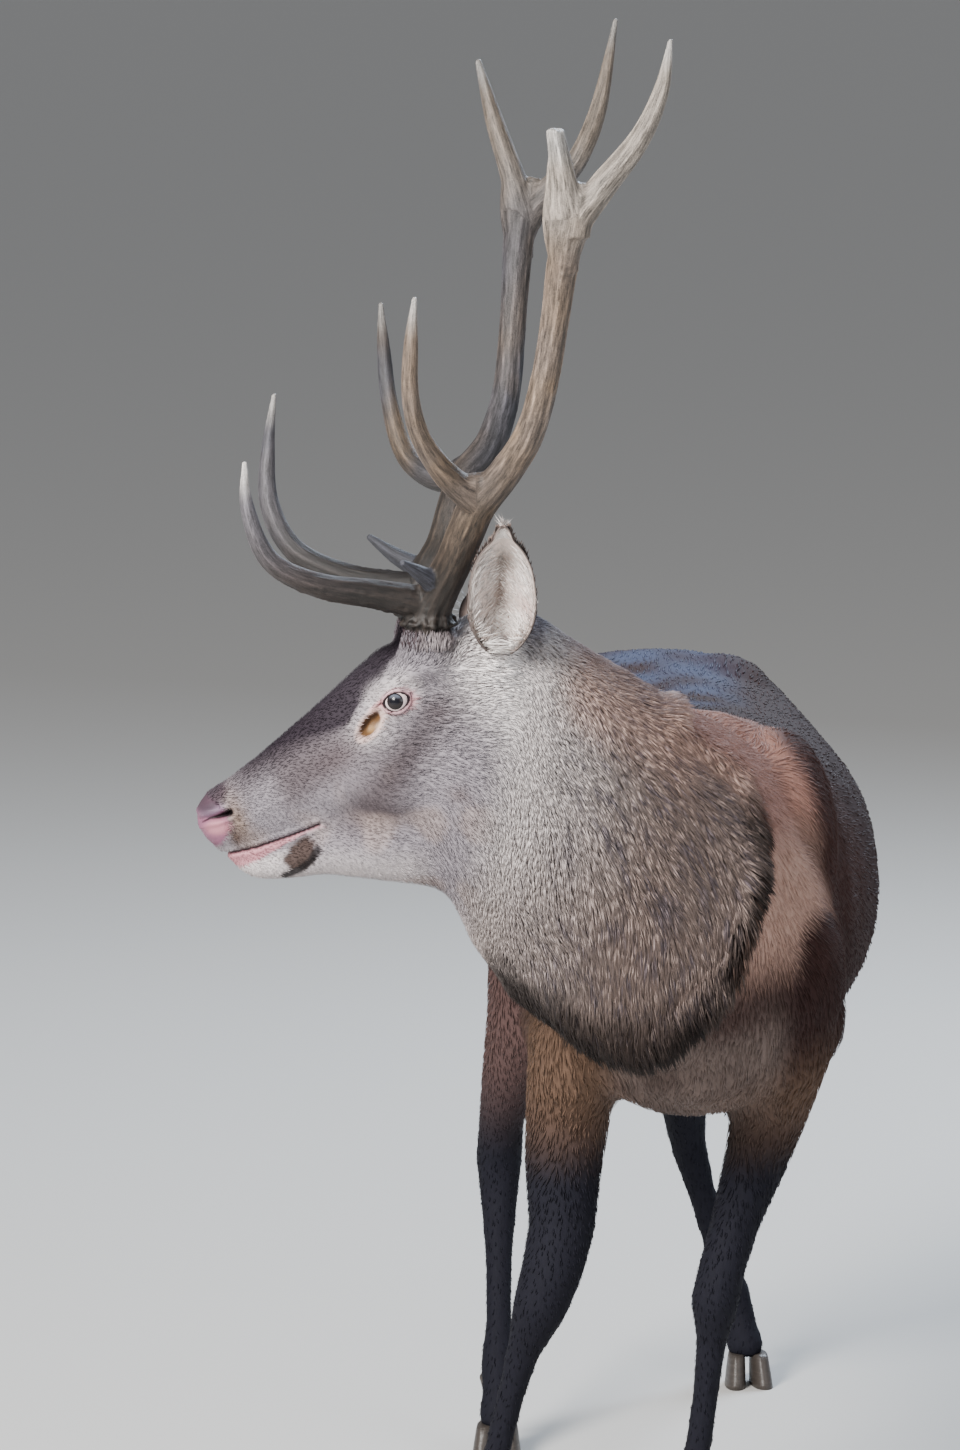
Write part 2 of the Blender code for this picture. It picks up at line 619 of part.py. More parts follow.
# ---- eyes and ears -----------------------------------------------------------------------------
def eyes(group, tools, head):
    sockets = bmesh.new()
    for side, sign in (("left", 1), ("right", -1)):
        centre = head_point(0.041, sign * 0.0655, -0.105)
        ball = bmesh.new()
        turn = head_matrix() @ Matrix.Rotation(math.radians(90), 4, "Y")
        bmesh.ops.create_uvsphere(ball, u_segments=12, v_segments=8, radius=EYE_RADIUS,
                                  matrix=Matrix.Translation(centre) @ turn)
        soften(to_object(f"eye_{side}", ball, group, "eye_dark"))
        bmesh.ops.create_uvsphere(sockets, u_segments=12, v_segments=8, radius=EYE_RADIUS + FIT * 2,
                                  matrix=Matrix.Translation(centre) @ turn)
    cut(head, cutter("sockets", sockets, tools))
    bake(head)


def ear(side, group, head_tool):
    """A leaf bent to a cup: narrow at the root, broad at a third, ending in a blunt point."""
    sign = 1 if side == "left" else -1
    root, tip, opening = EARS[side]
    base = head_point(root[0], sign * root[1], root[2])
    length = head_point(tip[0], sign * tip[1], tip[2]) - base
    along = length.normalized()
    facing = HEAD_FORWARD * opening[0] + HEAD_LEFT * (sign * opening[1]) + Vector((0, 0, opening[2]))
    facing = (facing - along * facing.dot(along)).normalized()
    across = along.cross(facing)
    form = bmesh.new()
    rows, columns = 9, 6
    grid = []
    for row in range(rows + 1):
        t = row / rows
        half = EAR_WIDTH / 2 * (0.34 + 0.66 * math.sin(math.pi * min(1.0, t * 1.12 + 0.03)) ** 0.8) * (
            1.0 if t < 0.72 else math.sqrt(max(0.02, 1 - ((t - 0.72) / 0.285) ** 2)))
        bend = math.radians(150 - 95 * min(1.0, t * 1.6))       # how far the leaf is rolled
        line = []
        for column in range(columns + 1):
            turn = bend * (2 * column / columns - 1)
            radius = half / math.sin(min(bend, math.pi / 2))
            offset = across * radius * math.sin(turn) + facing * radius * (1 - math.cos(turn) - 0.5)
            line.append(form.verts.new(base + length * t + offset))
        grid.append(line)
    for lower, upper in zip(grid, grid[1:]):
        for column in range(columns):
            form.faces.new((lower[column], lower[column + 1], upper[column + 1], upper[column]))
    item = to_object(f"ear_{side}", form, group, "ear_hair")
    shell = item.modifiers.new("thickness", "SOLIDIFY")
    shell.thickness = EAR_THICKNESS
    shell.offset = 0.0
    shell.use_even_offset = True
    cut(item, head_tool)
    bake(item)
    soften(item)


# ---- antlers -----------------------------------------------------------------------------------
def antler(side, group, tools):
    """Burr, beam and tines in one form, sawn at the forks."""
    sign = 1 if side == "left" else -1

    def placed(stations):
        return [(head_point(f, sign * out, up), radius) for (f, out, up), radius in stations]

    form = bmesh.new()
    beam = placed(BEAM[side])
    tube(form, smooth_path(beam, 4))
    burr = head_point(0.0, sign * 0.051, BURR)
    ellipsoid(form, burr + Vector((0.0, 0.0, 0.004)), (0.037, 0.037, 0.010))
    tines = {name: placed(rows) for name, rows in TINES[side].items()}
    bez = tines.pop("bez")
    for rows in tines.values():
        tube(form, smooth_path(rows, 5))
    whole = fuse(f"antler_{side}", form, ANTLER_VOXEL, 3, tools)
    cuts = []
    anchors = {"base": beam[3][0], "beam": beam[8][0], "crown": tines["crown_back"][1][0]}
    for name, reach, along in (("brow", 0.036, 0.55), ("trez", 0.034, 0.80)):
        start, after, last = tines[name][0][0], tines[name][1][0], tines[name][-1][0]
        cuts.append((start.lerp(after, along), after - start, reach))
        anchors[name] = after.lerp(last, 0.5)
    cuts.append((burr, (0, 0, 1), 0.05))
    anchors["waste"] = beam[0][0]
    cuts.append((beam[5][0].lerp(beam[6][0], 0.85), beam[6][0] - beam[5][0], 0.034))
    cuts.append((beam[-1][0].lerp(beam[-2][0], 0.75), beam[-1][0] - beam[-2][0], 0.040))
    finishes = {"base": "antler_base", "beam": "antler_beam", "crown": "antler_beam"}
    for name, part in split(whole, cuts, anchors).items():
        if name == "waste":
            part.free()
            continue
        item = to_object(f"antler_{side}_{name}", part, group, finishes.get(name, "antler_tine"))
        soften(thin_out(item, ANTLER_BUDGETS[name]))
    form = bmesh.new()
    tube(form, smooth_path(bez, 3), 8)
    item = to_object(f"antler_{side}_bez", form, group, "antler_tine")
    cut(item, swollen(group.objects[f"antler_{side}_base"], FIT, tools))
    soften(bake(item))


# ---- feet --------------------------------------------------------------------------------------
def claw(name, place, turn, sign, group):
    """One half of the cloven hoof: a wedge with a flat sole, its inner wall nearly straight."""
    form = bmesh.new()
    half = CLAW_WIDTH / 2
    sections = []
    for t, width, front, back in ((0.0, 1.00, 0.52, 0.48), (0.5, 0.92, 0.40, 0.47), (1.0, 0.78, 0.27, 0.44)):
        height = t * (CORONET - SAW)
        middle = Vector((sign * half * (0.06 - 0.16 * t), CLAW_LENGTH * (back - front) / 2, height))
        depth = Vector((0, CLAW_LENGTH * (front + back) / 2, 0))
        sections.append((middle, depth, Vector((half * width, 0, 0)), 2.3))
    loft(form, sections, 14)
    bmesh.ops.transform(form, verts=form.verts, matrix=Matrix.Translation(place) @ Matrix.Rotation(turn, 4, "Z"))
    soften(to_object(name, form, group, "hoof_horn"))


def dewclaw(name, place, turn, group, leg_tool):
    """The small claw behind the fetlock, pointing down and back."""
    form = bmesh.new()
    slope = Matrix.Rotation(math.radians(28), 4, "X")
    bmesh.ops.create_cone(form, cap_ends=True, segments=10, radius1=0.0065, radius2=0.0125, depth=0.034,
                          matrix=Matrix.Translation(place) @ Matrix.Rotation(turn, 4, "Z") @ slope)
    item = to_object(name, form, group, "hoof_horn")
    cut(item, leg_tool)
    bake(item)
    soften(item)


def foot(leg_name, rows, turn, group, tools, leg):
    """Two claws on the floor and two dewclaws behind the fetlock."""
    end = Vector(rows[-1][0])
    fetlock = Vector(rows[10][0])
    leg_tool = swollen(leg, FIT, tools)
    for label, sign in (("outer", 1), ("inner", -1)):
        if leg_name.endswith("right"):
            sign = -sign
        spread = Matrix.Rotation(turn, 3, "Z") @ Vector((sign * CLAW_SPREAD, 0, 0))
        place = Vector((end.x, end.y - 0.002, 0.0)) + spread
        claw(f"claw_{leg_name}_{label}", place, turn + sign * math.radians(4), sign, group)
        place = fetlock + spread * 0.85 + Vector((0, 0.026, -0.034))
        dewclaw(f"dewclaw_{leg_name}_{label}", place, turn, group, leg_tool)


def stand_on_origin(group):
    """Move every piece so that the box round the stag stands centred on the origin."""
    corners = [vertex.co for item in group.objects for vertex in item.data.vertices]
    low = [min(corner[axis] for corner in corners) for axis in range(3)]
    high = [max(corner[axis] for corner in corners) for axis in range(3)]
    shift = Vector((-(low[0] + high[0]) / 2, -(low[1] + high[1]) / 2, -low[2]))
    for item in group.objects:
        item.data.transform(Matrix.Translation(shift))
        item.data.update()


def build():
    empty_scene()
    stag = collection(NAME)
    tools = collection("cutters")
    parts = flesh(stag, tools)
    eyes(stag, tools, parts["head"])
    head_tool = swollen(parts["head"], FIT, tools)
    for side in ("left", "right"):
        ear(side, stag, head_tool)
        antler(side, stag, tools)
    turns = {"front_left": 0, "front_right": -8, "hind_left": 6, "hind_right": -4}
    for leg_name, turn in turns.items():
        end, side = leg_name.split("_")
        rows = (FRONT_LEG if end == "front" else HIND_LEG)[side]
        foot(leg_name, rows, math.radians(turn), stag, tools, parts[f"leg_{leg_name}"])
    for item in list(tools.objects):
        bpy.data.objects.remove(item, do_unlink=True)
    stand_on_origin(stag)


build()
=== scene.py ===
# %% [markdown]
# # A life-size red deer stag
# The stag stands with its head turned to its right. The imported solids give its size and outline, out
# to the tips of the coat. This lesson lays a skin inside them and grows the coat on it, and makes
# the antlers, eyes, ears and hooves again with the detail that the plain solids leave out.

# %% Load the frame
import math

import bmesh
import bpy
import numpy as np
from mathutils import Matrix, Vector
from mathutils.kdtree import KDTree


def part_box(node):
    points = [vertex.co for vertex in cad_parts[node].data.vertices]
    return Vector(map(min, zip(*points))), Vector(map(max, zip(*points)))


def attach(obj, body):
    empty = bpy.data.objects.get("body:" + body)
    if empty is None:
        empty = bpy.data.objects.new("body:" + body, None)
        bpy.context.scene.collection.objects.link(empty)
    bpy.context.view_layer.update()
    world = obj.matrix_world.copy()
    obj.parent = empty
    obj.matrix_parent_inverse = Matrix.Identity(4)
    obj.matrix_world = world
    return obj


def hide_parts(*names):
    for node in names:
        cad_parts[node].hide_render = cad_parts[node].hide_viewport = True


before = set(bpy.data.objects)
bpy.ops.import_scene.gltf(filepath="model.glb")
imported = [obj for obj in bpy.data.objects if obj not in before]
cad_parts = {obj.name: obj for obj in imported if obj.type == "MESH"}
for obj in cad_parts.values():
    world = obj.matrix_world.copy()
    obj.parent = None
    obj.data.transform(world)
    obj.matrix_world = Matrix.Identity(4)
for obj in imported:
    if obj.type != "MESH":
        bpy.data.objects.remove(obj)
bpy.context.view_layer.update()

SCENE = bpy.context.scene
DRAW = np.random.default_rng(31)

# %% [markdown]
# ## Places on the stag
# Everything is placed from the poll, the top of the neck between the ears, which the two eyes give.
# The head has its own axes, forward to the nose, to its left, and up, because it is turned away from
# the trunk. The trunk is measured from the point of the floor between the fore feet.

# %% Axes of the head and of the trunk
HEAD_TURN = math.radians(5)
FORWARD = np.array((-math.cos(HEAD_TURN), -math.sin(HEAD_TURN), 0.0))
LEFT = np.array((math.sin(HEAD_TURN), -math.cos(HEAD_TURN), 0.0))
UP = np.array((0.0, 0.0, 1.0))
EYE = np.array((0.041, 0.0655, -0.105))          # the left eyeball in the head's axes
EYE_RADIUS = 0.0172
PEDICLE = (0.0, 0.050, -0.066)                   # foot of the bone that carries the left antler
POLL_STAND = np.array((-0.350, -0.380, 1.395))   # the poll from the floor between the fore feet


def middle(node):
    low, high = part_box(node)
    return (np.array(low) + np.array(high)) / 2


POLL = (middle("eye_left") + middle("eye_right")) / 2 - FORWARD * EYE[0] - UP * EYE[2]
GROUND = POLL - POLL_STAND


def on_head(points):
    """Points of the frame in the head's axes."""
    away = points - POLL
    return np.stack((away @ FORWARD, away @ LEFT, away @ UP), -1)


def off_head(places):
    """Places in the head's axes as points of the frame."""
    places = np.asarray(places, float)
    return POLL + places[..., :1] * FORWARD + places[..., 1:2] * LEFT + places[..., 2:] * UP


print("poll", POLL.round(3), "ground mark", GROUND.round(3))

# %% [markdown]
# ## Small helpers for fields
# The lie, length and colour of the coat change smoothly over the animal. Each is a field: a function
# from many points at once to many values. `ramp` is a soft step and `sway` a cheap smooth noise made
# of a few waves. `curve` reads a table between its rows. `spot` and `line_distance` measure how far
# a point is from an ellipse or a line drawn on the side of the head.

# %% Fields
def ramp(value, low, high):
    t = np.clip((value - low) / (high - low), 0.0, 1.0)
    return t * t * (3 - 2 * t)


def unit(vectors):
    return vectors / np.maximum(np.linalg.norm(vectors, axis=-1, keepdims=True), 1e-9)


def sway(points, size, seed=0, waves=5):
    """Smooth noise between about -1 and 1, with features of that size."""
    draw = np.random.default_rng(seed)
    total = 0.0
    for _ in range(waves):
        way = unit(draw.normal(size=3)) * draw.uniform(0.7, 1.5) * 2 * math.pi / size
        total = total + np.sin(points @ way + draw.uniform(0, 2 * math.pi))
    return total / math.sqrt(waves)


def curve(value, rows):
    """Read a table of (value, result) rows, straight between them."""
    return np.interp(value, *np.transpose(rows))


def on_left(places):
    """Places in the head's axes with those on its right mirrored to its left."""
    return np.stack((places[:, 0], abs(places[:, 1]), places[:, 2]), -1)


def spot(places, forward, up, long, high, turn=0.0):
    """Distance from an ellipse on the side of the head, 1 on its edge; turn lifts its front end."""
    c, s = math.cos(math.radians(turn)), math.sin(math.radians(turn))
    f, u = places[..., 0] - forward, places[..., 2] - up
    return np.hypot((f * c + u * s) / long, (u * c - f * s) / high)


def line_distance(places, path):
    """Distance on the side of the head from a line of (forward, up) points, and the way along it."""
    best = np.full(places.shape[0], 9.0)
    along = np.zeros(places.shape[0])
    flat = places[:, (0, 2)]
    for index, (start, end) in enumerate(zip(path, path[1:])):
        start, end = np.array(start), np.array(end)
        t = np.clip((flat - start) @ (end - start) / ((end - start) @ (end - start)), 0, 1)
        away = np.linalg.norm(flat - (start + t[:, None] * (end - start)), axis=1)
        closer = away < best
        best[closer] = away[closer]
        along[closer] = (index + t[closer]) / (len(path) - 1)
    return best, along


# %% [markdown]
# ## Regions of the body
# The coat differs from head to neck, trunk, legs and tail. Planes divide the regions, each softened
# over a few centimetres, and the weights of a point add up to about one.

# %% Region weights
def plane(points, centre, normal):
    """How far points lie in front of a plane."""
    return (points - np.array(centre)) @ unit(np.array(normal, float))


MANE_SIDE = (                  # height, and x of the mane's edge on the left shoulder
    (0.82, -0.065), (0.85, -0.035), (0.88, -0.002), (0.91, 0.030), (0.935, 0.050), (0.963, 0.060),
    (1.014, 0.070), (1.07, 0.080), (1.11, 0.080), (1.17, 0.055), (1.24, -0.030))
MANE_FOOT = (                  # x, and height of the mane's edge under the chest
    (-0.30, 0.930), (-0.272, 0.920), (-0.213, 0.876), (-0.135, 0.832), (-0.083, 0.820), (-0.043, 0.842))
LEG_PLANES = (                 # centre, normal, and whether it is a fore leg
    ((0.135, -0.030, 0.720), (-0.70, 0.25, 1.0), True),
    ((-0.165, -0.050, 0.720), (0.70, 0.25, 1.0), True),
    ((0.125, 0.900, 0.800), (-0.60, -0.45, 1.0), False),
    ((-0.200, 0.860, 0.800), (0.60, -0.45, 1.0), False),
)
MID_TRUNK = 0.40               # y that parts the fore legs from the hind legs


def mane_edge(stand):
    """Way inside the edge of the mane, which crosses the left shoulder and hangs under the chest."""
    beside = curve(stand[:, 2], MANE_SIDE) - stand[:, 0]
    over = stand[:, 2] - curve(stand[:, 0], MANE_FOOT)
    return np.minimum(beside, over)


def regions(points):
    stand = points - GROUND
    inside = mane_edge(stand)
    behind = -plane(on_head(points), (-0.085, 0.0, -0.190), (1.0, 0.0, 0.22))   # way behind the head
    head = ramp(-behind, -0.035, 0.030)
    neck = ramp(plane(stand, (0.0, -0.120, 1.000), (0.0, -0.909, 0.417)), -0.035, 0.035) * (1 - head)
    neck = neck * np.maximum(ramp(inside, -0.022, 0.012), ramp(0.06 - behind, 0, 0.04))
    leg = np.zeros(len(points))
    for centre, normal, front in LEG_PLANES:
        same_side = (stand[:, 0] > -0.02 - 0.02 * (not front)) == (centre[0] > 0)
        same_end = (stand[:, 1] < MID_TRUNK) == front
        below = ramp(-plane(stand, centre, normal), -0.05, 0.06)
        leg = np.maximum(leg, below * same_side * same_end)
    leg = leg * (1 - head) * (1 - neck)
    tail = ramp(stand[:, 1], 1.112, 1.124) * ramp(stand[:, 2], 0.89, 0.91)
    tail = tail * ramp(0.05 - abs(stand[:, 0] + 0.04), 0, 0.006) * (1 - leg)
    trunk = (1 - head - neck) * (1 - leg) * (1 - tail)
    mane = neck * ramp(behind, 0.03, 0.20)
    return {"head": head, "neck": neck, "trunk": trunk, "leg": leg, "tail": tail, "mane": mane,
            "behind": behind, "inside": inside, "stand": stand, "place": on_head(points)}


# %% [markdown]
# ## The lie of the coat
# Hair on a deer runs from the nose back over the face, down the neck and away from the head, back
# along the trunk and down the legs. The direction is set region by region and pressed flat on the
# skin, with a slow sway so that no two locks are parallel.

# %% Lie, depth and length of the coat
NECK_FLOW = np.array((0.22, 0.16, -0.95))        # the way of the hair on the side of the neck


def coat_lie(points, normals):
    r = regions(points)
    stand, place = r["stand"], r["place"]
    way = np.zeros((len(points), 3))
    cheek = ramp(-place[:, 2], 0.15, 0.30)[:, None]
    rear = ramp(place[:, 0], 0.06, -0.08)[:, None]
    head_way = UP * (0.10 - 0.45 * cheek) - FORWARD + rear * (0.1, 0.1, -0.45)
    eye_way = place - EYE * (1, 0, 1)
    near_eye = np.exp(-spot(place, EYE[0], EYE[2], 0.035, 0.03) ** 2)[:, None]
    head_way = head_way + near_eye * (eye_way[:, :1] * FORWARD + eye_way[:, 2:] * UP) * 30
    pedicle = np.exp(-(np.hypot(place[:, 0] - PEDICLE[0], abs(place[:, 1]) - PEDICLE[1]) / 0.040) ** 4)
    pedicle = pedicle * ramp(place[:, 2], -0.075, -0.045)
    head_way = head_way + pedicle[:, None] * UP * 4
    way += r["head"][:, None] * head_way
    crest = ramp(normals[:, 2], 0.1, 0.8)[:, None]
    low = ramp(-stand[:, 2], -1.05, -0.85)[:, None]
    neck_way = NECK_FLOW + crest * (0.35, 0.30, 0.15) + low * (-0.06, 0.05, -0.3)
    way += r["neck"][:, None] * neck_way
    belly = ramp(-stand[:, 2], -0.95, -0.75)[:, None]
    rump = ramp(stand[:, 1], 0.75, 1.05)[:, None]
    shoulder = ramp(stand[:, 1], 0.25, 0.02)[:, None]
    way += r["trunk"][:, None] * (np.array((0, 1.0, -0.38)) + belly * (0, -0.25, -0.30)
                                  + rump * (0, -0.25, -0.75) + shoulder * (0, -0.35, -0.50))
    way += r["leg"][:, None] * np.array((0.0, 0.14, -1.0))
    way += r["tail"][:, None] * np.array((0.0, 0.1, -1.0))
    way = unit(way - normals * (way * normals).sum(1, keepdims=True))
    across = np.cross(normals, way)
    turn = 0.20 * sway(points, 0.11, 3) + 0.10 * sway(points, 0.035, 4)
    return unit(way + across * turn[:, None])


def ear_foot(place):
    """One at the root of the ears, where the hair is long and white."""
    return np.exp(-spot(on_left(place), -0.072, -0.052, 0.026, 0.034) ** 2)


def by_region(r, **values):
    """Sum of a value for each region, in the points' shares of the regions."""
    return sum(r[region] * value for region, value in values.items())


def coat_depth(points):
    """How far the tips of the coat stand off the skin."""
    r = regions(points)
    height, forward = r["stand"][:, 2], r["place"][:, 0]
    low_mane = r["mane"] * ramp(-height, -1.15, -0.88)
    return by_region(
        r, head=0.0018 + 0.0030 * ramp(forward, 0.16, -0.06) + 0.007 * ear_foot(r["place"]),
        neck=0.006 + 0.012 * r["mane"] + 0.008 * low_mane,
        trunk=0.0016 + 0.0026 * ramp(0.38 - r["stand"][:, 1], 0, 0.15),
        leg=0.0012 * ramp(height, 0.060, 0.10) + 0.0020 * ramp(height, 0.45, 0.75), tail=0.007)


def coat_length(points):
    """How long the tufts are before they are drawn a little longer or shorter."""
    r = regions(points)
    height, forward = r["stand"][:, 2], r["place"][:, 0]
    low_mane = r["mane"] * ramp(-height, -1.15, -0.88)
    return by_region(
        r, head=0.0060 + 0.0085 * ramp(forward, 0.14, -0.09) + 0.016 * ear_foot(r["place"]),
        neck=0.014 + 0.024 * r["mane"] + 0.026 * low_mane,
        trunk=0.023 + 0.006 * ramp(r["stand"][:, 1], 0.70, 1.05),
        leg=0.010 + 0.010 * ramp(height, 0.45, 0.75), tail=0.034)


# %% [markdown]
# ## Markings
# The face is mouse grey with a dark bridge, a pale jaw and a pale ring round the eye. The neck is
# pale behind the cheek, brown grey lower down and nearly black along the mane's fringe, with painted
# slate shade along its crest, behind the ear and between its locks. The shoulder is fox red, made
# brighter beside the mane by a painted strip of sunlight; the back is slate under a painted blue sky
# sheen, the barrel dark brown and the legs darker still. Skin and coat ask the same functions for
# their colour, so the markings agree where the coat parts.

# %% Colours of the coat and the bare skin
EYE_AXIS = unit(np.array((0.22, 0.97, 0.06)))        # outwards through the eye, in the head's axes
EYE_LONG = unit(np.cross(np.cross(EYE_AXIS, (1.0, 0.0, -0.30)), EYE_AXIS))
EYE_HIGH = np.cross(EYE_LONG, EYE_AXIS)
EYE_HIGH = EYE_HIGH * np.sign(EYE_HIGH[2])
LID_HALF = (0.0122, 0.0080, 0.0084)                  # half length, height of the upper and the lower lid
TOP_LINE = (                   # forward, and the height of the line of the forehead and nose
    (-0.10, -0.024), (0.049, -0.023), (0.096, -0.076), (0.161, -0.133), (0.212, -0.178), (0.270, -0.221),
    (0.30, -0.26))
MASK = (                       # forward, and the dark mask's depth under that line
    (-0.03, 0.018), (0.037, 0.030), (0.062, 0.043), (0.088, 0.045), (0.106, 0.056), (0.130, 0.046),
    (0.163, 0.034), (0.214, 0.020), (0.26, 0.012))
MOUTH = ((0.290, -0.312), (0.252, -0.305), (0.217, -0.297), (0.176, -0.283), (0.138, -0.268))
NOSTRIL = ((0.287, -0.264), (0.278, -0.2585), (0.266, -0.2555), (0.253, -0.2505))
EYE_FOLD = ((0.050, -0.104), (0.062, -0.108), (0.072, -0.118))      # from the eye's front corner
EYE_EDGE = ((0.048, -0.118), (0.060, -0.122), (0.0635, -0.133))     # under the fold, towards the gland
CHIN_RIM = ((0.141, -0.300), (0.150, -0.315), (0.164, -0.326), (0.183, -0.335))
NOSE_PAD = (0.290, -0.266, 0.036, 0.037, -35)              # centre, half sizes and slope of an ellipse
GLAND = (0.075, -0.136, 0.0175, 0.0088, -53)
FACE_GREY = (0.240, 0.217, 0.242)
CHARCOAL = (0.017, 0.012, 0.018)
CHEEK_DARK = (0.082, 0.064, 0.070)
PALE = (0.520, 0.475, 0.480)
WHITE = (0.880, 0.830, 0.820)
PINK = (0.450, 0.195, 0.230)
PAD = (0.200, 0.088, 0.138)
NECK_PALE = (0.560, 0.515, 0.510)
NECK_BROWN = (0.265, 0.200, 0.178)
CREST_RED = (0.450, 0.300, 0.250)
# painted slate shade of the neck
NECK_SHADE_SLATE = (0.060, 0.056, 0.086)
MANE_DARK = (0.006, 0.004, 0.004)
# red-brown coat brightened as a painted strip of sunlight
SUNLIT_SHOULDER_RED = (0.450, 0.285, 0.230)
SHOULDER_BROWN = (0.048, 0.021, 0.018)
BARREL = (0.031, 0.015, 0.014)
BELLY = (0.006, 0.004, 0.005)
# dark slate hair with a painted blue sky sheen
BACK_SLATE_SKY_SHEEN = (0.054, 0.064, 0.112)
CHEST_TAN = (0.115, 0.070, 0.048)
CHEST_GREY = (0.140, 0.105, 0.094)
LEG_DARK = (0.008, 0.008, 0.013)
TAIL_RUST = (0.200, 0.105, 0.055)
BLACK = (0.008, 0.005, 0.006)
NOSE_TOP = (0.045, 0.030, 0.040)
NOSE_BROWN = (0.210, 0.135, 0.085)
NOSE_LAVENDER = (0.215, 0.165, 0.235)
NOSE_FOLD = (0.070, 0.040, 0.026)
LID_PINK = (0.50, 0.27, 0.28)
LID_CREASE_SHADE = (0.06, 0.025, 0.03)
MOUTH_DARK = (0.030, 0.012, 0.016)
CHIN_DARK = (0.050, 0.032, 0.027)
CHIN_BLACK = (0.012, 0.010, 0.011)
GLAND_RIM = (0.55, 0.38, 0.34)
GLAND_PIT = (0.095, 0.046, 0.014)
GLAND_WALL_SHADE = (0.022, 0.010, 0.005)
WAX_GOLD = (0.25, 0.145, 0.060)
GLAND_HIGHLIGHT = (0.55, 0.42, 0.33)
JAW_BROWN = (0.10, 0.065, 0.055)
WARM_GREY = (0.300, 0.235, 0.215)
FACE_DABS = {                  # colour, strength, fall, then an ellipse: centre, half sizes and slope
    "cheek": ((CHEEK_DARK, 0.85, 2, 0.040, -0.187, 0.100, 0.027, -57),
              (CHEEK_DARK, 0.92, 2, 0.122, -0.182, 0.062, 0.027, -32),
              (CHEEK_DARK, 0.85, 2, 0.066, -0.258, 0.045, 0.020, -10)),
    "jaw": ((CHEEK_DARK, 0.45, 2, -0.095, -0.265, 0.030, 0.030),
            (JAW_BROWN, 0.45, 2, -0.034, -0.222, 0.014, 0.012)),
    "eye": ((PALE, 0.70, 2, 0.077, -0.142, 0.024, 0.020),
            (CHEEK_DARK, 0.65, 2, -0.006, -0.118, 0.022, 0.018),
            (CHEEK_DARK, 0.50, 2, 0.072, -0.226, 0.050, 0.032, -62),
            (CHEEK_DARK, 0.40, 2, 0.116, -0.160, 0.036, 0.020, -35),
            (CHEEK_DARK, 0.28, 2, -0.048, -0.108, 0.034, 0.030, -60),
            (PALE, 0.85, 4, 0.048, -0.098, 0.036, 0.026, -30)),
    "ear": ((WHITE, 0.90, 2, -0.098, -0.085, 0.036, 0.085, -15),),
    "nostril": ((NOSE_BROWN, 0.65, 2, 0.243, -0.262, 0.013, 0.036, -20),),
    "pad": ((PINK, 0.75, 4, 0.268, -0.2690, 0.0165, 0.0105, -8),
            (NOSE_LAVENDER, 0.7, 4, 0.276, -0.2480, 0.017, 0.0080, -20),
            (NOSE_FOLD, 0.8, 2, 0.246, -0.2830, 0.0075, 0.015, -25)),
    "corner": ((LID_PINK, 0.6, 2, 0.023, -0.106, 0.005, 0.006),),
    "wax_and_highlight": ((WAX_GOLD, 0.9, 4, 0.0735, -0.1420, 0.0052, 0.0040, -53),
            # a painted pale highlight on the wax
            (GLAND_HIGHLIGHT, 0.55, 2, 0.0655, -0.1370, 0.0060, 0.0022, -53)),
}


def even(points, colour):
    """The same colour for every point."""
    return np.zeros((len(points), 3)) + np.array(colour)


def blend(under, over, amount):
    return under + (np.array(over) - under) * np.clip(amount, 0, 1)[:, None]


def dab(colour, places, part, share=1.0):
    """Blend the soft ellipses of a part of the face over a colour."""
    for over, strength, fall, *ellipse in FACE_DABS[part]:
        colour = blend(colour, over, strength * share * np.exp(-spot(places, *ellipse) ** fall))
    return colour


def face_marks(points, place):
    forward, side, up = place[:, 0], abs(place[:, 1]), place[:, 2]
    drop = curve(forward, TOP_LINE) - up
    colour = dab(even(points, FACE_GREY), place, "cheek")
    bridge = ramp(0.138 - 0.075 * ramp(forward, 0.17, 0.21) - drop, 0, 0.07)
    bridge = bridge * ramp(forward, 0.085, 0.17) * ramp(-forward, -0.275, -0.225)
    colour = dab(blend(colour, CHEEK_DARK, 0.75 * bridge), place, "jaw")
    colour = blend(colour, PALE, 0.75 * ramp(-up, 0.285, 0.335) * ramp(forward, -0.02, 0.03))
    colour = dab(colour, place, "eye")
    # the dark mask, cut out round the eye, and the forelock above it
    soft = 0.010 + 0.030 * ramp(forward, 0.10, 0.20)
    mask = np.clip((curve(forward, MASK) + soft / 2 - drop) / soft, 0, 1)
    mask = mask * ramp(forward, -0.02, 0.02) * ramp(-forward, -0.280, -0.215)
    mask = mask * (1 - 0.9 * ramp(side, 0.036, 0.052) * ramp(0.064 - forward, 0, 0.02))
    mask = mask * (1 - 0.90 * np.exp(-spot(place, 0.050, -0.094, 0.036, 0.024, -30) ** 6))
    colour = blend(colour, CHARCOAL, 0.95 * mask)
    forelock = ramp(0.034 - drop, 0, 0.02) * ramp(0.060 - forward, 0, 0.02) * ramp(0.042 - side, 0, 0.012)
    colour = blend(colour, CHARCOAL, 0.80 * forelock * ramp(0.036 - side, 0, 0.010))
    colour = blend(colour, WARM_GREY, 0.5 * ramp(sway(points, 0.07, 18), 0.1, 1.2) * ramp(-up, 0.17, 0.23))
    # the pale cheek under the ear, and the white hair at its root
    return blend(dab(colour, place, "ear"), WHITE, ear_foot(place) ** 0.5)


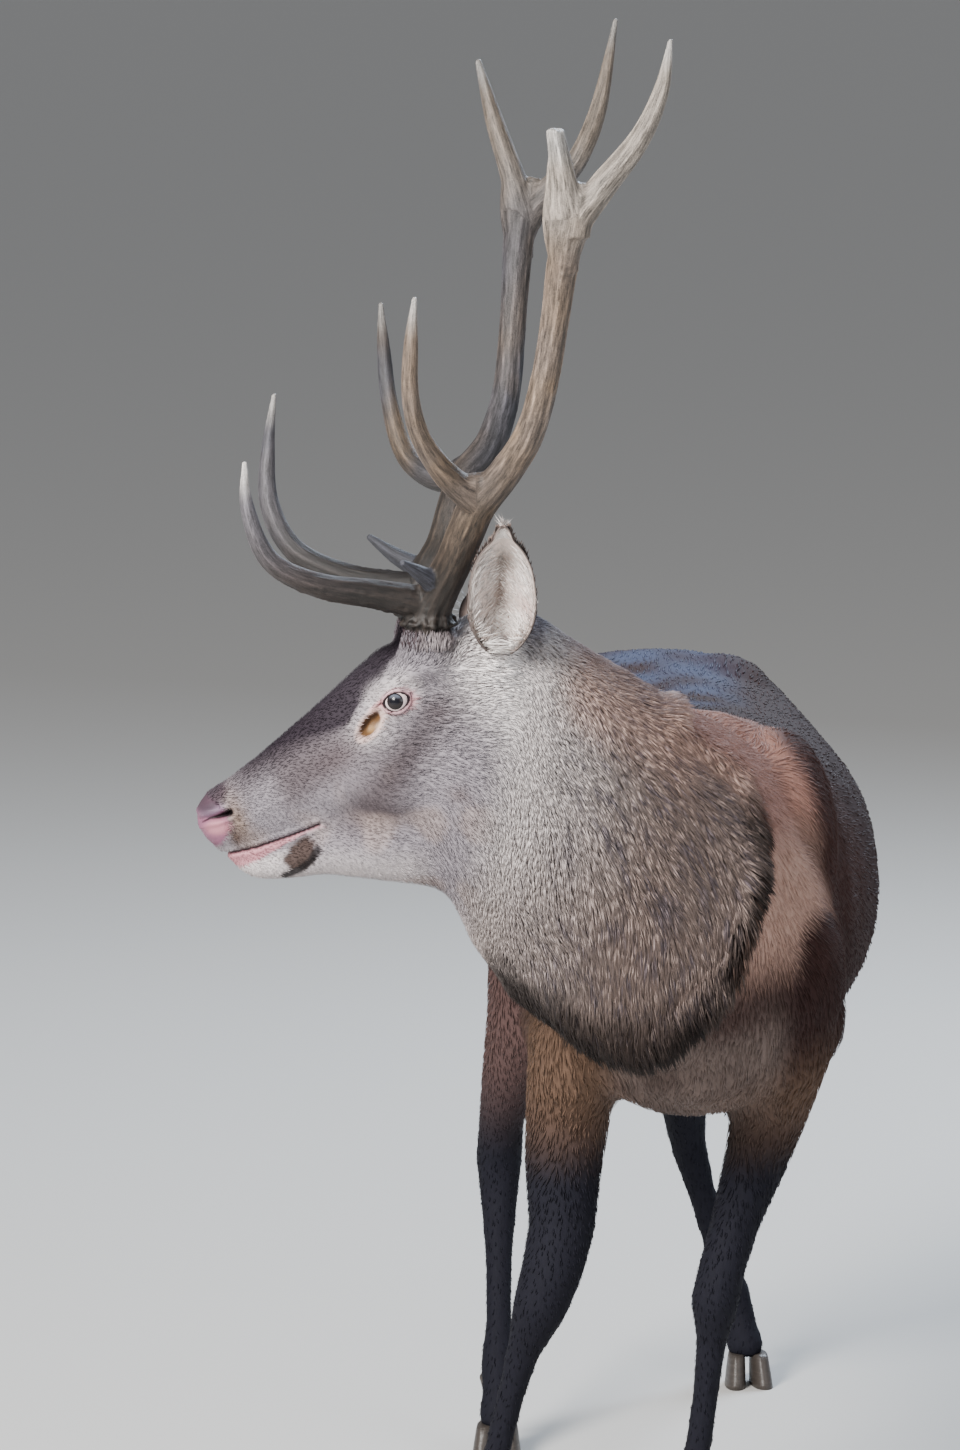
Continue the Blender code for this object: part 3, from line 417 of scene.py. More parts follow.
def neck_marks(points, r):
    stand, behind = r["stand"], r["behind"]
    height = stand[:, 2]
    pale = ramp(-behind, -0.22, 0.0) * (0.50 + 0.50 * ramp(height, 0.98, 1.15))
    colour = blend(even(points, NECK_BROWN), NECK_PALE, pale)
    crest = crest_height(stand)
    red = ramp(crest, -0.12, -0.04) * ramp(behind, 0.03, 0.09) * ramp(0.03 - stand[:, 0], 0, 0.10)
    colour = blend(colour, CREST_RED, 0.80 * red)
    # painted slate shade along the crest's far edge, widened behind the ear as the ear's shadow
    ear_shadow = ramp(-0.190 - stand[:, 0], 0, 0.04)
    colour = blend(colour, NECK_SHADE_SLATE, 0.85 * ramp(crest + 0.045 * ear_shadow, -0.015, 0.015))
    # dark streaks of painted shade in the gaps between locks, drawn out along the lie of the hair
    flow = unit(NECK_FLOW)
    across = points - 0.93 * (points @ flow)[:, None] * flow
    shade_between_locks = ramp(sway(across, 0.0075, 19), 0.1, 1.3) * ramp(behind, 0.02, 0.14)
    colour = blend(colour, NECK_SHADE_SLATE, 0.60 * shade_between_locks)
    # the mane's fringe, broad under the chest and narrow at the shoulder
    width = 0.034 + 0.136 * ramp(1.00 - height, 0, 0.16)
    fringe = np.clip(1 - (r["inside"] + 0.012 * sway(points, 0.05, 11)) / width, 0, 1)
    colour = blend(colour, MANE_DARK, 0.98 * fringe ** 0.70 * ramp(1.185 - height, 0, 0.07))
    # the shoulder's painted sunlit red, carried onto the mane's edge near the withers
    return blend(colour, SUNLIT_SHOULDER_RED, 0.55 * ramp(0.06 - r["inside"], 0, 0.05) * ramp(height, 1.12, 1.18))


FAR_RED = (0.130, 0.075, 0.060)
FAR_FLANK = (0.100, 0.055, 0.046)
FAR_HIND = (0.085, 0.050, 0.046)


def trunk_marks(points, stand):
    x, y, height = stand.T
    # a fox-red band beside the mane: red-brown coat brightened by a painted strip of sunlight, dimmer
    # towards its top; then brown, nearly black below
    sunlit_band = abs(x + 0.03) - 0.03 - curve(height, MANE_SIDE) + 0.015 * sway(points, 0.15, 12)
    front = ramp(0.30 - y, 0.0, 0.16)
    colour = blend(even(points, BARREL), SHOULDER_BROWN, front * ramp(height, 0.84, 1.0))
    red = np.array(SUNLIT_SHOULDER_RED) * (1 - np.array((0.30, 0.40, 0.40)) * ramp(height, 1.04, 1.12)[:, None])
    red = blend(red, FAR_RED, 0.85 * ramp(-x, 0.03, 0.10))
    sunlit_band = ramp(0.100 + 0.03 * ramp(1.03 - height, 0, 0.06) - sunlit_band, 0.0, 0.045)
    colour = blend(colour, red, front * sunlit_band * ramp(height, 0.86, 0.97))
    colour = blend(colour, FAR_FLANK, 0.8 * front * ramp(-0.12 - x, 0, 0.08))
    colour = blend(colour, BELLY, ramp(-height, -0.78, -0.68))
    # slate along the spine: dark hair with a painted blue sheen of sky light
    spine = height - 1.165 - 0.02 * ramp(y, 0.5, 0.8) + 0.014 * sway(points, 0.22, 14)
    spine = ramp(spine, -0.070, 0.0) * ramp(0.145 - abs(x + 0.03), 0.0, 0.07)
    colour = blend(colour, BACK_SLATE_SKY_SHEEN, spine * ramp(y, 0.30, 0.48) * (0.65 + 0.45 * sway(points, 0.13, 15)))
    # the chest between the fore legs, and the rusty rump
    chest = ramp(0.02 - y, 0, 0.10) * ramp(0.90 - height, 0, 0.07) * ramp(0.145 - x, 0, 0.05)
    colour = blend(colour, CHEST_GREY, chest * (0.85 + 0.15 * sway(points, 0.09, 16)))
    colour = blend(colour, CHEST_TAN, chest * ramp(-0.08 - x, 0, 0.06))
    low = np.exp(-((x - 0.045) / 0.07) ** 2) * ramp(height, 0.81, 0.87)
    colour = blend(colour, SHOULDER_BROWN, 0.92 * chest * low)
    rump = np.exp(-(((x + 0.04) / 0.13) ** 2 + ((height - 0.98) / 0.15) ** 2)) * ramp(y, 0.95, 1.06)
    return blend(colour, TAIL_RUST, 0.8 * rump)


def leg_marks(points, stand):
    x, y, height = stand.T
    fore = y < MID_TRUNK
    brown = 0.8 * ramp(height, 0.60, 0.80)
    tan = ramp(height, 0.58, 0.74) * ramp(0.05 - y, 0.0, 0.09) * fore
    tan = tan * (0.35 + 0.65 * ramp(x, -0.270, -0.215))
    colour = blend(even(points, LEG_DARK), CHEST_TAN, tan)
    colour = blend(colour, SHOULDER_BROWN, brown * (1 - tan) * fore)
    colour = blend(colour, BARREL, brown * (1 - fore))
    return blend(colour, FAR_HIND, 0.9 * ramp(height, 0.42, 0.62) * (1 - fore) * (x < -0.1))


def markings(points):
    """Colours of the coat at points of the skin."""
    r = regions(points)
    colours = {"head": face_marks(points, r["place"]), "neck": neck_marks(points, r),
               "trunk": trunk_marks(points, r["stand"]), "leg": leg_marks(points, r["stand"]),
               "tail": even(points, TAIL_RUST)}
    return np.clip(sum(r[region][:, None] * colour for region, colour in colours.items()), 0, 1)


def crest_height(stand):
    """Height over the line that the top of the neck takes from the poll down to the withers."""
    return stand[:, 2] - (1.232 - 0.74 * np.clip(stand[:, 0], -0.25, 0.10))


def open_eye(side):
    """Distance from the outline of the open eye, 1 on the rims of the lids; side is on the head's left."""
    away = side - EYE
    high = away @ EYE_HIGH
    high = np.where(high > 0, high / LID_HALF[1], high / LID_HALF[2])
    return (abs(away @ EYE_LONG / LID_HALF[0]) ** 1.85 + abs(high) ** 1.85) ** (1 / 1.85)


def bare_skin(places):
    """Where the head has no hair: nose pad, nostrils, lips, lids and the scent gland."""
    side = on_left(places)
    outer = side[:, 1] > 0.03
    pad = ramp(1.0 - spot(side, 0.290, -0.266, 0.034, 0.036, -35), 0.0, 0.25)
    lid = ramp(1.75 - open_eye(side), 0.0, 0.25) * outer
    mouth, _ = line_distance(side, MOUTH)
    lips = ramp(0.0035 - mouth, 0.0, 0.0025)
    gland = ramp(1.15 - spot(side, *GLAND), 0, 0.15) * outer
    return np.maximum.reduce((pad, lid, lips, gland))


def face_skin_colour(colour, places):
    """Bare parts of the head over the colour of the coat."""
    side = on_left(places)
    outer = side[:, 1] > 0.03
    # golden brown behind the nostril, then the moist pad, dark above
    colour = dab(colour, side, "nostril")
    colour = blend(colour, PAD, ramp(1.05 - spot(side, *NOSE_PAD), 0.0, 0.15))
    colour = dab(colour, side, "pad")
    above = spot(side, 0.277, -0.233, 0.034, 0.018, -42)
    colour = blend(colour, NOSE_TOP, 0.9 * ramp(1.0 - above, 0.0, 0.5))
    nostril, along = line_distance(side, NOSTRIL)
    colour = blend(colour, BLACK, 0.97 * ramp(0.0012 + 0.0042 * along ** 1.5 - nostril, 0, 0.0016))
    # pink skin round the eye, the black rims of the lids and the fold at its front corner
    ring = open_eye(side)
    colour = blend(colour, PINK, 0.62 * outer * ramp(2.4 - ring, 0.0, 0.8))
    fold, edge = (line_distance(side, line)[0] for line in (EYE_FOLD, EYE_EDGE))
    colour = blend(colour, LID_PINK, 0.8 * outer * ramp(0.0055 - fold, 0, 0.003))
    colour = dab(colour, side, "corner", outer)
    # painted shade in the crease along the fold and the lid's edge
    crease = ramp(0.0019 - np.minimum(fold, edge + 0.0005), 0, 0.0010)
    colour = blend(colour, LID_CREASE_SHADE, 0.9 * outer * crease)
    colour = blend(colour, BLACK, 0.99 * outer * ramp(1.58 - ring, 0.0, 0.10))
    # the mouth: a dark line over a pink lower lip, and the dark patch behind the chin
    mouth, rim = (line_distance(side, line)[0] for line in (MOUTH, CHIN_RIM))
    under = curve(side[:, 0], MOUTH[::-1]) - side[:, 2]
    colour = blend(colour, PALE, 0.8 * ramp(under, 0.014, 0.022) * ramp(side[:, 0], 0.165, 0.195))
    patch = spot(side, 0.163, -0.307, 0.027, 0.021, -52) + 0.10 * sway(places, 0.016, 17)
    patch = ramp(1.05 - patch, 0.0, 0.35) * ramp(under, -0.001, 0.004)
    colour = blend(colour, CHIN_DARK, 0.96 * patch)
    colour = blend(colour, CHIN_BLACK, 0.92 * ramp(0.0075 - rim, 0.0, 0.005))
    lip = ramp(under, 0.0, 0.002) * ramp(0.006 + 0.018 * ramp(side[:, 0], 0.15, 0.25) - under, 0.0, 0.005)
    colour = blend(colour, PINK, 0.88 * lip * ramp(side[:, 0], 0.130, 0.142))
    colour = blend(colour, MOUTH_DARK, 0.95 * ramp(0.0024 - mouth, 0, 0.0014))
    # scent gland: a pit with painted shade on its front wall, golden wax with a painted highlight, and a
    # pale border
    pit = spot(side, *GLAND)
    colour = blend(colour, GLAND_RIM, 0.7 * outer * ramp(1.75 - pit, 0, 0.5))
    colour = blend(colour, GLAND_PIT, 0.97 * outer * ramp(1.10 - pit, 0, 0.15))
    colour = dab(colour, side, "wax_and_highlight", outer)
    # painted shade on the pit's front wall
    wall = np.minimum(spot(side, 0.0800, -0.1345, 0.018, 0.0046, -53),
                      spot(side, 0.069, -0.124, 0.009, 0.0042, -53))
    return blend(colour, GLAND_WALL_SHADE, 0.95 * outer * np.exp(-wall ** 4))


print("markings ready")

# %% [markdown]
# ## Materials
# A number in a node tree is wrapped so that sums and products of numbers build Math nodes. Colours
# and vectors go through Mix and Vector Math, because a Math node turns a colour grey.

# %% Shader helpers
class Wire:
    """A number that leaves a node; arithmetic on it adds Math nodes."""

    def __init__(self, finish, socket):
        self.finish = finish
        self.socket = socket

    def _math(self, operation, first, second):
        return self.finish.add("ShaderNodeMath", {"operation": operation}, {0: first, 1: second})

    def __add__(self, other):
        return self._math("ADD", self, other)

    def __sub__(self, other):
        return self._math("SUBTRACT", self, other)

    def __rsub__(self, other):
        return self._math("SUBTRACT", other, self)

    def __mul__(self, other):
        return self._math("MULTIPLY", self, other)

    def at_least(self, other):
        return self._math("MAXIMUM", self, other)

    __radd__ = __add__
    __rmul__ = __mul__


class Finish:
    """A Principled material with helpers for its nodes."""

    def __init__(self, name, **constants):
        self.material = bpy.data.materials.new(name)
        self.material.use_nodes = True
        self.tree = self.material.node_tree
        self.shader = self.tree.nodes["Principled BSDF"]
        for socket, value in constants.items():
            self.shader.inputs[socket.replace("_", " ")].default_value = value

    def add(self, kind, settings=None, inputs=None, output=0):
        """Make a node, set it and wire its inputs; the one way nodes are made here."""
        node = self.tree.nodes.new(kind)
        for name, value in (settings or {}).items():
            setattr(node, name, value)
        for name, value in (inputs or {}).items():
            self.feed(node.inputs[name], value)
        return Wire(self, node.outputs[output])

    def feed(self, socket, value):
        if isinstance(value, Wire):
            self.tree.links.new(value.socket, socket)
        else:
            socket.default_value = value

    def set(self, socket, value):
        self.feed(self.shader.inputs[socket], value)

    def attribute(self, name, number=False):
        return self.add("ShaderNodeAttribute", {"attribute_name": name}, output=2 if number else 0)

    def noise(self, scale, stretch=(1, 1, 1), detail=3.0, rough=0.6, place=None):
        place = place or self.add("ShaderNodeTexCoord", output=3)
        moved = self.add("ShaderNodeMapping", inputs={"Vector": place, "Scale": stretch})
        return self.add("ShaderNodeTexNoise", inputs={"Vector": moved, "Scale": scale, "Detail": detail,
                                                      "Roughness": rough})

    def shade(self, colour, amount):
        """A colour made lighter or darker by a number."""
        return self.add("ShaderNodeVectorMath", {"operation": "SCALE"}, {0: colour, "Scale": amount})

    def tint(self, under, over, amount):
        return self.add("ShaderNodeMix", {"data_type": "RGBA"}, {0: amount, 6: under, 7: over}, output=2)

    def bump(self, height, strength, distance):
        bumped = self.add("ShaderNodeBump", inputs={"Height": height, "Strength": strength,
                                                    "Distance": distance})
        self.set("Normal", bumped)


# %% [markdown]
# The skin shows between the tufts and on the bare parts of the face. It carries the markings as a
# colour on its points. Fine noise, drawn out along the lie of the hair, breaks the colour up and
# gives the short flat coat its bump. `bare` is one on naked skin, which is smoother and moist.

# %% Skin and coat materials
def skin_finish():
    skin = Finish("skin", Specular_IOR_Level=0.12)
    bare = skin.attribute("bare", number=True)
    tone = skin.attribute("tone")
    streaks = skin.noise(260, (1.0, 0.45, 0.30), detail=4)
    pores = skin.noise(900, detail=2)
    flecks = (streaks * 0.7 + pores * 0.5 + 0.40) * (1 - bare) + bare * (pores * 0.3 + 0.85)
    skin.set("Base Color", skin.shade(tone, flecks))
    skin.set("Roughness", (1 - bare) * 0.35 + (pores * 0.25 + 0.30))
    skin.bump(streaks * (1 - bare) + pores * 0.5, 0.55, 0.0012)
    return skin.material


def coat_finish(name, root_shade, tip_shade, contrast):
    """Hair: darker at the root, which partly paints the shade in the gaps between locks, paler at the tip,
    and no two tufts alike.
    """
    coat = Finish(name, Specular_IOR_Level=0.10)
    along = coat.attribute("along", number=True)
    fleck = coat.attribute("fleck", number=True)
    hairs = coat.noise(700, (1.0, 0.5, 0.35), detail=2)
    light = along * (tip_shade - root_shade) + root_shade
    coat.set("Base Color", coat.shade(coat.attribute("tone"), light * (fleck * contrast + (1 - contrast / 2))
                                      * (hairs * 0.6 + 0.70)))
    coat.set("Roughness", hairs * 0.25 + 0.48)
    return coat.material


SKIN = skin_finish()
COATS = {
    "mane": coat_finish("coat_mane", 0.58, 1.18, 0.62),
    "neck": coat_finish("coat_neck", 0.78, 1.12, 0.42),
    "body": coat_finish("coat_body", 0.98, 1.15, 0.28),
    "face": coat_finish("coat_face", 0.86, 1.12, 0.50),
    "ear": coat_finish("coat_ear", 0.90, 1.22, 0.35),
}
print("materials", [m.name for m in bpy.data.materials])

# %% [markdown]
# ## The skin
# One skin covers the whole stag, so that no seam shows where the solids were parted. The solids of
# flesh are swollen by a hair, joined, and wrapped by a voxel remesh. Facets are eased away without
# shrinking, and the skin is drawn in by the depth of the coat. The mesh is made finer on the head,
# again on its features and again at the lids and nose, which are then pressed into it.

# %% Meshes as arrays
FLESH = ("head", "neck", "trunk", "tail",
         "leg_front_left", "leg_front_right", "leg_hind_left", "leg_hind_right")
SIDES = ("left", "right")
SWELL = 0.0006           # closes the cuts between the solids
WRAP_VOXEL = 0.0097


def half(side):
    """One on the head's left, minus one on its right."""
    return 1 if side == "left" else -1


def show(mesh, name):
    """A mesh as an object of the scene."""
    item = bpy.data.objects.new(name, mesh)
    SCENE.collection.objects.link(item)
    return item


def evaluated(item):
    graph = bpy.context.evaluated_depsgraph_get()
    graph.update()
    return bpy.data.meshes.new_from_object(item.evaluated_get(graph))


def voxel_wrap(form, name, voxel):
    """A bmesh wrapped in one closed skin."""
    mesh = bpy.data.meshes.new(name)
    form.to_mesh(mesh)
    form.free()
    item = show(mesh, name)
    wrap = item.modifiers.new("wrap", "REMESH")
    wrap.mode = "VOXEL"
    wrap.voxel_size = voxel
    wrapped = evaluated(item)
    bpy.data.objects.remove(item)
    return wrapped


def ease(points, edges, rounds):
    """Smooth points along their edges and swell them back, so that thin parts keep their girth."""
    first, second = edges.T
    count = np.bincount(edges.ravel(), minlength=len(points))[:, None]
    for _ in range(rounds):
        for pull in (0.50, -0.515):
            total = np.stack([np.bincount(first, points[second, axis], len(points))
                              + np.bincount(second, points[first, axis], len(points))
                              for axis in range(points.shape[1])], -1)
            points = points + pull * (total / np.maximum(count, 1) - points)
    return points


def read(items, name, width=3, kind=float):
    """One property of every item of a mesh, as rows."""
    values = np.empty(len(items) * width, kind)
    items.foreach_get(name, values)
    return values.reshape(-1, width)


def mesh_points(mesh):
    return read(mesh.vertices, "co")


def mesh_edges(mesh):
    return read(mesh.edges, "vertices", 2, int)


def mesh_normals(mesh):
    return read(mesh.vertex_normals, "vector")


def move_to(mesh, points):
    mesh.vertices.foreach_set("co", points.ravel())
    mesh.update()


# %% Wrap the solids of flesh
flesh = bmesh.new()
for node in FLESH:
    part = bmesh.new()
    part.from_mesh(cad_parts[node].data)
    bmesh.ops.remove_doubles(part, verts=part.verts, dist=1e-5)
    part.normal_update()
    for corner in part.verts:
        corner.co += corner.normal * SWELL
    mesh = bpy.data.meshes.new("part")
    part.to_mesh(mesh)
    part.free()
    flesh.from_mesh(mesh)
    bpy.data.meshes.remove(mesh)
for side in SIDES:
    bmesh.ops.create_uvsphere(flesh, u_segments=24, v_segments=16, radius=EYE_RADIUS + 0.001,
                              matrix=Matrix.Translation(middle(f"eye_{side}")))
    foot = off_head(np.array(PEDICLE) * (1, half(side), 1))
    bmesh.ops.create_cone(flesh, cap_ends=True, segments=28, radius1=0.040, radius2=0.0330, depth=0.060,
                          matrix=Matrix.Translation(foot + UP * 0.026 + FORWARD * 0.002))
hide = voxel_wrap(flesh, "wrap", WRAP_VOXEL)
move_to(hide, ease(mesh_points(hide), mesh_edges(hide), 9))
print("wrap", len(hide.vertices), "points")

# %% [markdown]
# Drawing the skin in by the coat's depth follows the eased normals. The bottoms of the legs are left
# a little long instead, so that they sink into the hooves.

# %% Draw the skin in
def draw_in(mesh):
    points, normals = mesh_points(mesh), mesh_normals(mesh)
    normals = unit(ease(normals, mesh_edges(mesh), 2))
    inward = coat_depth(points)
    moved = points - normals * inward[:, None]
    height = points[:, 2] - GROUND[2]
    moved[:, 2] -= 0.006 * ramp(-height, -0.060, -0.052)
    move_to(mesh, moved)


draw_in(hide)


def refine(mesh, wanted):
    """Quarter the faces whose centres are wanted."""
    form = bmesh.new()
    form.from_mesh(mesh)
    centres = np.array([face.calc_center_median() for face in form.faces])
    chosen = wanted(on_head(centres))
    form.faces.ensure_lookup_table()
    edges = {edge for index in np.flatnonzero(chosen) for edge in form.faces[index].edges}
    bmesh.ops.subdivide_edges(form, edges=list(edges), cuts=1, use_grid_fill=True)
    form.to_mesh(mesh)
    form.free()


def near_head(place):
    return (place[:, 0] > -0.11) & (place[:, 2] > -0.40) & (abs(place[:, 1]) < 0.13)


def near_features(place):
    side = on_left(place)
    eye = np.linalg.norm(side - EYE, axis=1) < 0.046
    gland = np.hypot(side[:, 0] - 0.076, side[:, 2] + 0.136) < 0.032
    muzzle = (place[:, 0] > 0.128) & (place[:, 2] < -0.215)
    return (eye | gland) & (side[:, 1] > 0.03) | muzzle


def near_lids(place):
    side = on_left(place)
    nose = np.hypot(side[:, 0] - 0.275, side[:, 2] + 0.262) < 0.028
    return (np.linalg.norm(side - EYE, axis=1) < 0.033) & (side[:, 1] > 0.03) | nose


def ease_head(mesh, rounds, inside):
    """Ease the wanted places of the head alone."""
    points = mesh_points(mesh)
    eased = ease(points, mesh_edges(mesh), rounds)
    chosen = inside(on_head(points))
    points[chosen] = eased[chosen]
    move_to(mesh, points)


for near, rounds in ((near_head, 4), (near_features, 4), (near_lids, 3)):
    refine(hide, near)
    ease_head(hide, rounds, near)
print("skin", len(hide.vertices), "points")

# %% [markdown]
# The eyelids are shaped against the eyeball. Points inside the almond opening go behind it, points
# just outside rise over it as a rounded lid, and the rest settle back into the brow. The other
# features are grooves, pits and low swellings, pressed along the skin's normals on both sides.

# %% Sculpt the face
def shape_lids(side):
    """Move points of the head round the eyeball; side has its lateral axis made positive."""
    away = side - EYE
    reach = np.linalg.norm(away, axis=1)
    near = (reach < 0.045) & (away @ EYE_AXIS > -0.002)
    ring = open_eye(side)
    # crowd points towards the rim
    pull = 1 - 0.55 * (ring - 1) / np.maximum(ring, 0.2) * np.exp(-((ring - 1) / 0.30) ** 2)
    flat = away - (away @ EYE_AXIS)[:, None] * EYE_AXIS
    away = away + flat * (pull - 1)[:, None]
    ring = open_eye(EYE + away)
    reach = np.linalg.norm(away, axis=1)
    high = away @ EYE_HIGH
    lid = EYE_RADIUS + 0.0006 + 0.0022 * ramp(ring, 1.0, 1.30)
    crease = 0.0018 * np.exp(-((ring - 1.75) / 0.18) ** 2) * np.where(high > 0, 1.0, 0.55)
    settle = ramp(ring, 1.35, 2.40)
    wanted = np.where(ring < 0.985, EYE_RADIUS - 0.0045, lid + (reach - lid) * settle - crease)
    moved = EYE + away * (wanted / np.maximum(reach, 1e-6))[:, None]
    return np.where(near[:, None], moved, side)


SWELLINGS = (                  # rise, then an ellipse: centre, half sizes and slope
    (0.0075, 0.290, -0.262, 0.034, 0.040, -35),      # fullness of the nose
    (-0.0022, 0.120, -0.165, 0.055, 0.022, -32),     # hollow of the nose
    (0.0018, 0.030, -0.152, 0.055, 0.010, -14),      # cheek ridge
    (-0.0016, 0.080, -0.240, 0.060, 0.024, -25),     # hollow of the cheek
    (0.0012, 0.150, -0.215, 0.070, 0.003, -28),      # vein of the cheek
)


def bell(value, centre, width, power=2):
    """One at the centre, falling off to nothing beyond the width."""
    return np.exp(-((value - centre) / width) ** power)


def shape_features(side):
    """How far each point of the head moves along its normal."""
    mouth, _ = line_distance(side, MOUTH)
    nostril, along = line_distance(side, NOSTRIL)
    pit = spot(side, *GLAND)
    outer = ramp(side[:, 1], 0.03, 0.045)
    wing = ramp(side[:, 1], 0.004, 0.012)
    rise = sum(height * np.exp(-spot(side, *ellipse) ** 2) for height, *ellipse in SWELLINGS)
    rise += 0.0018 * bell(mouth, 0.006, 0.004) - 0.0042 * bell(mouth, 0, 0.0026)
    rise -= wing * (0.0020 + 0.0095 * along) * bell(nostril, 0, 0.0020 + 0.0026 * along)
    rise += 0.0024 * wing * bell(nostril, 0.0075, 0.0035)
    rise += outer * (0.0016 * bell(pit, 1.45, 0.35) - 0.0060 * bell(pit, 0, 0.85, 4))
    return rise + 0.0022 * outer * np.exp(-spot(side, 0.045, -0.078, 0.030, 0.010, -15) ** 2)     # brow


def mirrored(function, places):
    """Apply a shaping written for the head's left side to both sides."""
    sign = np.where(places[:, 1] < 0, -1.0, 1.0)
    side = places.copy()
    side[:, 1] *= sign
    result = function(side)
    if result.ndim > 1:
        result[:, 1] *= sign
    return result


def sculpt(mesh):
    points = mesh_points(mesh)
    places = on_head(points)
    chosen = (places[:, 0] > -0.12) & (places[:, 2] > -0.40) & (regions(points)["head"] > 0.2)
    points[chosen] = off_head(mirrored(shape_lids, places[chosen]))
    move_to(mesh, points)
    points, normals = mesh_points(mesh), mesh_normals(mesh)
    places = on_head(points)
    points[chosen] += normals[chosen] * mirrored(shape_features, places[chosen])[:, None]
    move_to(mesh, points)


sculpt(hide)

# %% [markdown]
# The colours go on the points of the skin as an attribute, with the bare parts beside them.

# %% Paint the skin
BARE_PARTS = 0.5               # share of the head past which its bare parts and their colours count


def paint(mesh, tone, **numbers):
    """Store colours and numbers on a mesh's points for its material."""
    layer = mesh.attributes.new("tone", "FLOAT_COLOR", "POINT")
    opaque = np.concatenate((tone, np.ones((len(tone), 1))), 1)
    layer.data.foreach_set("color", opaque.ravel().astype(np.float32))
    for name, values in numbers.items():
        layer = mesh.attributes.new(name, "FLOAT", "POINT")
        layer.data.foreach_set("value", np.asarray(values, np.float32))


skin_points = mesh_points(hide)
skin_places = on_head(skin_points)
head_weight = regions(skin_points)["head"]
on_face = head_weight > BARE_PARTS
bare = bare_skin(skin_places) * on_face
tone = markings(skin_points)
tone = np.where(on_face[:, None], face_skin_colour(tone, skin_places), tone)
paint(hide, tone, bare=bare)
hide.shade_smooth()
hide.materials.clear()
hide.materials.append(SKIN)
skin = show(hide, "skin")
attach(skin, "root")
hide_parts(*FLESH)
print("skin tone", tone.mean(0).round(3), "bare points", int((bare > 0.5).sum()))

# %% [markdown]
# ## The coat
# Each tuft is a thin closed blade with three sides: a root, one or more bends, and a point. It grows
# along a short path that is stepped over the skin, so it lies down as the hair does and ends where
# the solids say that the coat ends. Blades are worked out as arrays, thousands at once, and joined
# in meshes, since a modifier or an operator per tuft would take far too long. In the mane the tips
# of neighbours are drawn together into locks.

# %% The skin as arrays
class Ground:
    """A mesh's surface for growing tufts on it."""

    def __init__(self, mesh, lie, depth):
        self.points = mesh_points(mesh)
        self.normals = unit(ease(mesh_normals(mesh), mesh_edges(mesh), 1))
        mesh.calc_loop_triangles()
        self.triangles = read(mesh.loop_triangles, "vertices", 3, int)
        self.lie = lie(self.points, self.normals)
        self.depth = depth(self.points)
        self.tree = KDTree(len(self.points))
        for index, point in enumerate(self.points):
            self.tree.insert(point, index)
        self.tree.balance()

    def nearest(self, places):
        find = self.tree.find
        return np.fromiter((find(place)[1] for place in places), int, len(places))

    def scatter(self, count, density):
        """Roots spread over the surface in proportion to a density given at its triangles' centres."""
        a, b, c = (self.points[self.triangles[:, corner]] for corner in range(3))
        area = np.linalg.norm(np.cross(b - a, c - a), axis=1) * density((a + b + c) / 3)
        total = np.cumsum(area)
        picks = (np.arange(count) + DRAW.random(count)) / count * total[-1]
        chosen = np.searchsorted(total, picks).clip(0, len(area) - 1)
        u, v = DRAW.random(count), DRAW.random(count)
        over = u + v > 1
        u[over], v[over] = 1 - u[over], 1 - v[over]
        return a[chosen] + u[:, None] * (b - a)[chosen] + v[:, None] * (c - a)[chosen]


def comb(ground, roots, lengths, steps, stray):
    """Paths of tufts over the skin: a list of places, with the skin's normal at each."""
    near = ground.nearest(roots)
    normal, way = ground.normals[near], ground.lie[near]
    across = np.cross(way, normal)
    way = unit(way + across * DRAW.normal(0, stray, len(roots))[:, None])
    height = ground.depth[near] * DRAW.uniform(0.55, 1.0, len(roots))
    place = roots - normal * 0.0012
    path, normals = [place], [normal]
    for step in range(1, steps + 1):
        place = place + way * (lengths / steps)[:, None]
        near = ground.nearest(place)
        normal = ground.normals[near]
        stands = ((place - ground.points[near]) * normal).sum(1)
        wanted = height * (0.25 + 0.75 * step / steps)
        place = place + normal * (wanted - stands)[:, None]
        way = unit(way + 0.6 * ground.lie[near])
        path.append(place)
        normals.append(normal)
    return path, normals


def clump(path, roots, count, strength):
    """Draw the tips of neighbouring tufts together into that many locks."""
    seeds = DRAW.choice(len(roots), min(count, len(roots)), replace=False)
    tree = KDTree(len(seeds))
    for index, seed in enumerate(seeds):
        tree.insert(roots[seed], index)
    tree.balance()
    lock = np.fromiter((tree.find(root)[1] for root in roots), int, len(roots))
    leader = seeds[lock]
    drawn = [path[0]]
    for step in range(1, len(path)):
        pull = strength * (step / (len(path) - 1)) ** 1.3
        drawn.append(path[step] + pull * (path[step][leader] - path[step]))
    return drawn, lock


